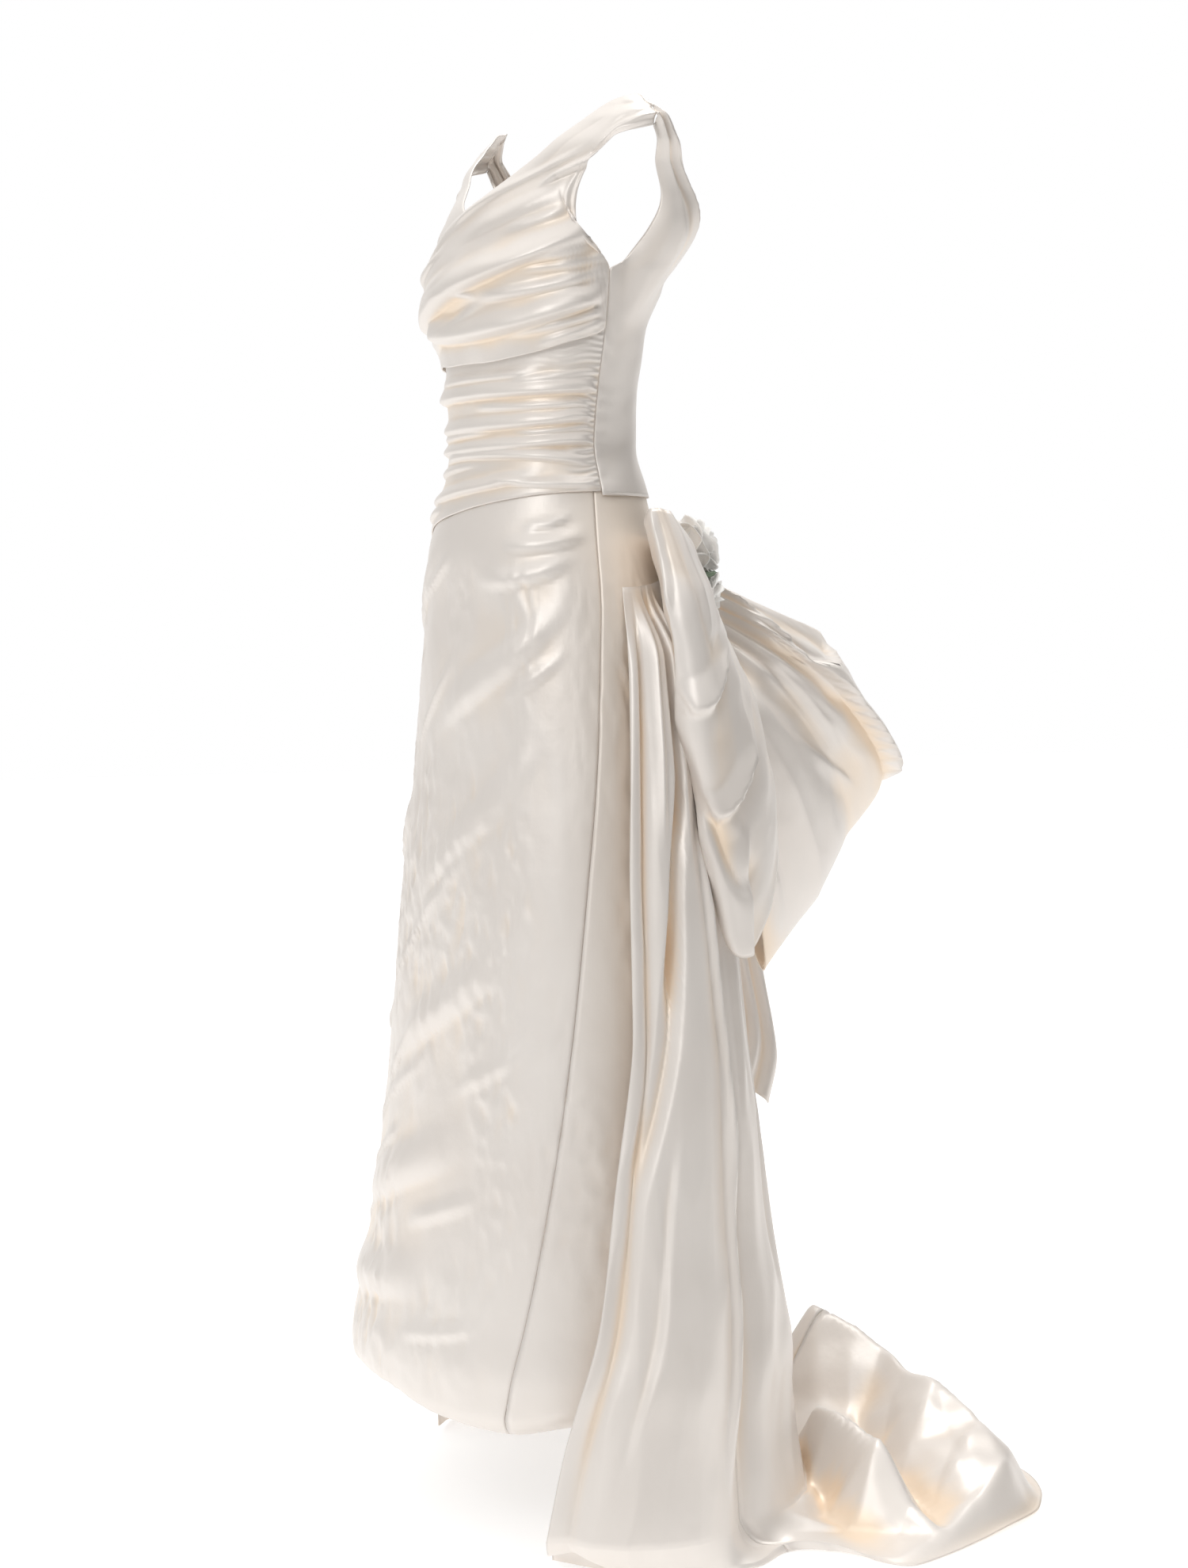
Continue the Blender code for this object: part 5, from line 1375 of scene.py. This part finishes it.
def rose(node, turn, lift, radius, height):
    """Petal i stands at i golden turns; its cup leans out with i, and its lip rolls back outwards."""
    outward, sideways, upward = facing(turn, lift)
    grids, petal_foot_shade = [], []
    for i in range(PETALS):
        open_share = (i + 1) / PETALS
        up = steps(0.0, 1.0, PETAL_CELLS[0])[:, None]
        across = steps(-1.0, 1.0, PETAL_CELLS[1])[None, :]
        half_turn = math.radians(WIDEST_PETAL - NARROWING * open_share)
        tall = height * (1.02 - 0.40 * open_share ** 2)
        lip = np.sqrt(np.clip(1.0 - 0.90 * across ** 4, 0.0, 1.0))
        reach = radius * (BUD_SHARE + BLOOM_SHARE * open_share ** 0.8)
        spread = 0.45 + 0.55 * up ** (1.3 - 0.6 * open_share)
        curl = LIP_CURL * radius * open_share * smooth((up - LIP_FROM) / (1.0 - LIP_FROM))
        wide = reach * spread + curl - WAVE_SHARE * radius * np.cos(4.0 * across) * up
        around = i * GOLDEN_TURN + half_turn * across * (0.55 + 0.45 * np.sin(math.pi * up * 0.62))
        ragged = 1.0 + RAGGED * noise(i * 3.7 + 1.9 * across, i * 1.3 + 0.0 * across, 95)
        rise = tall * up * lip * ragged - LIP_DROP * height * open_share * smooth((up - 0.7) / 0.3)
        wide = np.minimum(wide * 0.98, radius * 1.02)
        points = (on_knot(outward) + (rise + 0.0 * around)[..., None] * outward
                  + (wide * np.cos(around))[..., None] * sideways
                  + (wide * np.sin(around))[..., None] * upward)
        grids.append(points)
        # painted shade: full at the foot of each petal, gone at its lip
        petal_foot_shade.append(0.9 * (1.0 - up) + 0.0 * across)
    made = joined_grids(node + "_petals", grids, PETAL_CLOTH, petal_foot_shade)
    wall_on(made, PETAL_WALL)
    dress(made, node)
    print(node, PETALS, "petals")


for row in ROSES:
    rose(*row)

# %% [markdown]
# A cloth leaf is a stamped blade with a rib. It could be a flat shape with a picture of a
# leaf on it, but a few rows of points already give it its keel and its wavy rim.

# %% Leaves
# Columns: name, turn, tilt, length, half_width
LEAVES = (("leaf_left", 62.0, 28.0, 0.042, 0.013), ("leaf_right", -6.0, -24.0, 0.042, 0.013))
LEAF_CELLS, LEAF_WALL = (30, 16), 0.0006
LEAF_KEEL, LEAF_WAVES, LEAF_WAVE_RISE = 0.25, 9.0, 0.0006


def leaf(node, turn, tilt, length, half_width):
    """A blade whose width is a sine of its length, bent up on both sides of the rib."""
    outward, sideways, upward = facing(turn, 0.0)
    along = steps(0.0, 1.0, LEAF_CELLS[0])[:, None]
    across = steps(-1.0, 1.0, LEAF_CELLS[1])[None, :]
    blade = math.cos(math.radians(tilt)) * sideways + math.sin(math.radians(tilt)) * upward
    width = half_width * np.sin(math.pi * (0.06 + 0.90 * along)) ** 0.8
    wavy = LEAF_WAVE_RISE * np.sin(LEAF_WAVES * math.pi * along) * across ** 2
    fold = LEAF_KEEL * width * np.abs(across) + wavy
    points = (on_knot(outward) + (length * along)[..., None] * outward
              + (width * across)[..., None] * blade + fold[..., None] * np.cross(outward, blade))
    made = wall_on(grid_object(node + "_cloth", points, LEAF_CLOTH), LEAF_WALL)
    dress(made, node)
    print(node, points.shape[:2])


for row in LEAVES:
    leaf(*row)

# %% [markdown]
# ## Floor and light
# Satin shows its form only by what it reflects. An evenly white room would wipe out every
# fold, and one lamp would burn them. So a white backdrop stands behind the gown and a pale
# ceiling over it, the walls beside it are grey and darker on the right, one panel lights
# it from the front and one from above. The floor is a pale sheet with a painted glow that
# makes it as white as the backdrop, so that they meet without a line, and its glow fades
# towards the camera.

# %% Studio
FLOOR_PALE, FLOOR_GLOW = (0.68, 0.68, 0.68, 1.0), 0.58
GLOW_FULL, GLOW_NONE = (1.0, 1.0, 1.0, 1.0), (0.0, 0.0, 0.0, 1.0)
GLOW_ENDS, GLOW_FADE = 0.27, 1.30        # the glow starts to fade this far in front of the gown's axis
FLOOR_HALF, FLOOR_UNDER = 14.0, 0.0004


def parts_of(vector):
    """The three numbers of a vector, each as its own wire."""
    return [vector.node("ShaderNodeSeparateXYZ", None, {"Vector": vector}, output=i) for i in range(3)]


def studio_floor():
    """A large pale sheet under the train, with a painted glow that fades towards the camera."""
    mesh = bpy.data.meshes.new("floor")
    corner = FLOOR_HALF
    z = FLOOR_Z - FLOOR_UNDER
    corners = [(-corner, -corner, z), (corner, -corner, z), (corner, corner, z), (-corner, corner, z)]
    mesh.from_pydata(corners, [], [(0, 1, 2, 3)])
    material, start, shader = new_material("pale_floor")
    body = start.node("ShaderNodeTexCoord", output=3)
    grain = start.node("ShaderNodeTexNoise", None, {"Vector": body, "Scale": 3.0, "Detail": 3.0})
    place_x, place_y, _ = parts_of(body)
    # painted glow: full behind the gown's axis, fading to none towards the camera
    dark = ramp(place_x * backward.x + place_y * backward.y, GLOW_ENDS, GLOW_ENDS + GLOW_FADE)
    feed(shader, Base_Color=FLOOR_PALE, Roughness=0.75 + grain * 0.1,
         Emission_Color=dark.blend(GLOW_FULL, GLOW_NONE), Emission_Strength=FLOOR_GLOW)
    mesh.materials.append(material)
    floor = bpy.data.objects.new("floor", mesh)
    bpy.context.scene.collection.objects.link(floor)


studio_floor()
print("floor", 2.0 * FLOOR_HALF, "m wide")

# %% [markdown]
# Two panels give the shape, and the room gives what the satin mirrors. The room's tones are
# worked out from the direction of the look, so that nothing but the light has an edge.

# %% Room and lights
BACKDROP_WHITE = (1.0, 1.0, 1.0, 1.0)
ROOM_LEFT, ROOM_RIGHT = (0.40, 0.40, 0.40, 1.0), (0.09, 0.085, 0.08, 1.0)
CEILING_PALE = (1.00, 0.99, 0.98, 1.0)
BACKDROP_FROM, BACKDROP_FULL = 0.70, 0.93  # cosines of the angle off the backdrop's middle
CEILING_FROM, CEILING_FULL = 0.30, 0.80    # sines of the elevation
WALL_SPAN = 0.8                            # sine of the way over which the walls darken

def soft_panel(name, place, aim, size, watts):
    """A white light of that width and height that faces its aim."""
    light = bpy.data.lights.new(name, "AREA")
    light.shape = "RECTANGLE"
    light.size, light.size_y = size
    light.energy = watts
    lamp = bpy.data.objects.new(name, light)
    lamp.location = place
    lamp.rotation_euler = (Vector(aim) - Vector(place)).to_track_quat("-Z", "Y").to_euler()
    bpy.context.scene.collection.objects.link(lamp)


def studio_room():
    """Walls that darken from left to right, under the ceiling's tone, under the backdrop's."""
    world = bpy.data.worlds.new("room")
    world.use_nodes = True
    way_x, way_y, way_z = parts_of(Wire(world.node_tree).node("ShaderNodeTexCoord", output=0))
    toward = way_x * -backward.x + way_y * -backward.y
    across = way_x * rightward.x + way_y * rightward.y
    colour = ramp(across, -WALL_SPAN, WALL_SPAN).blend(ROOM_LEFT, ROOM_RIGHT)
    colour = ramp(way_z, CEILING_FROM, CEILING_FULL).blend(colour, CEILING_PALE)
    colour = ramp(toward, BACKDROP_FROM, BACKDROP_FULL).blend(colour, BACKDROP_WHITE)
    room = world.node_tree.nodes["Background"]
    world.node_tree.links.new(colour.socket, room.inputs["Color"])
    bpy.context.scene.world = world


soft_panel("front_panel", (1.6, -3.0, 1.2), (0.0, 0.0, -0.7), (1.1, 1.7), 30.0)
soft_panel("top_panel", (0.1, 0.6, 3.0), (0.1, 0.35, -1.4), (1.8, 1.8), 60.0)
studio_room()
bpy.context.scene.view_settings.view_transform = "Standard"
print("lights:", len(bpy.data.lights))

# %% [markdown]
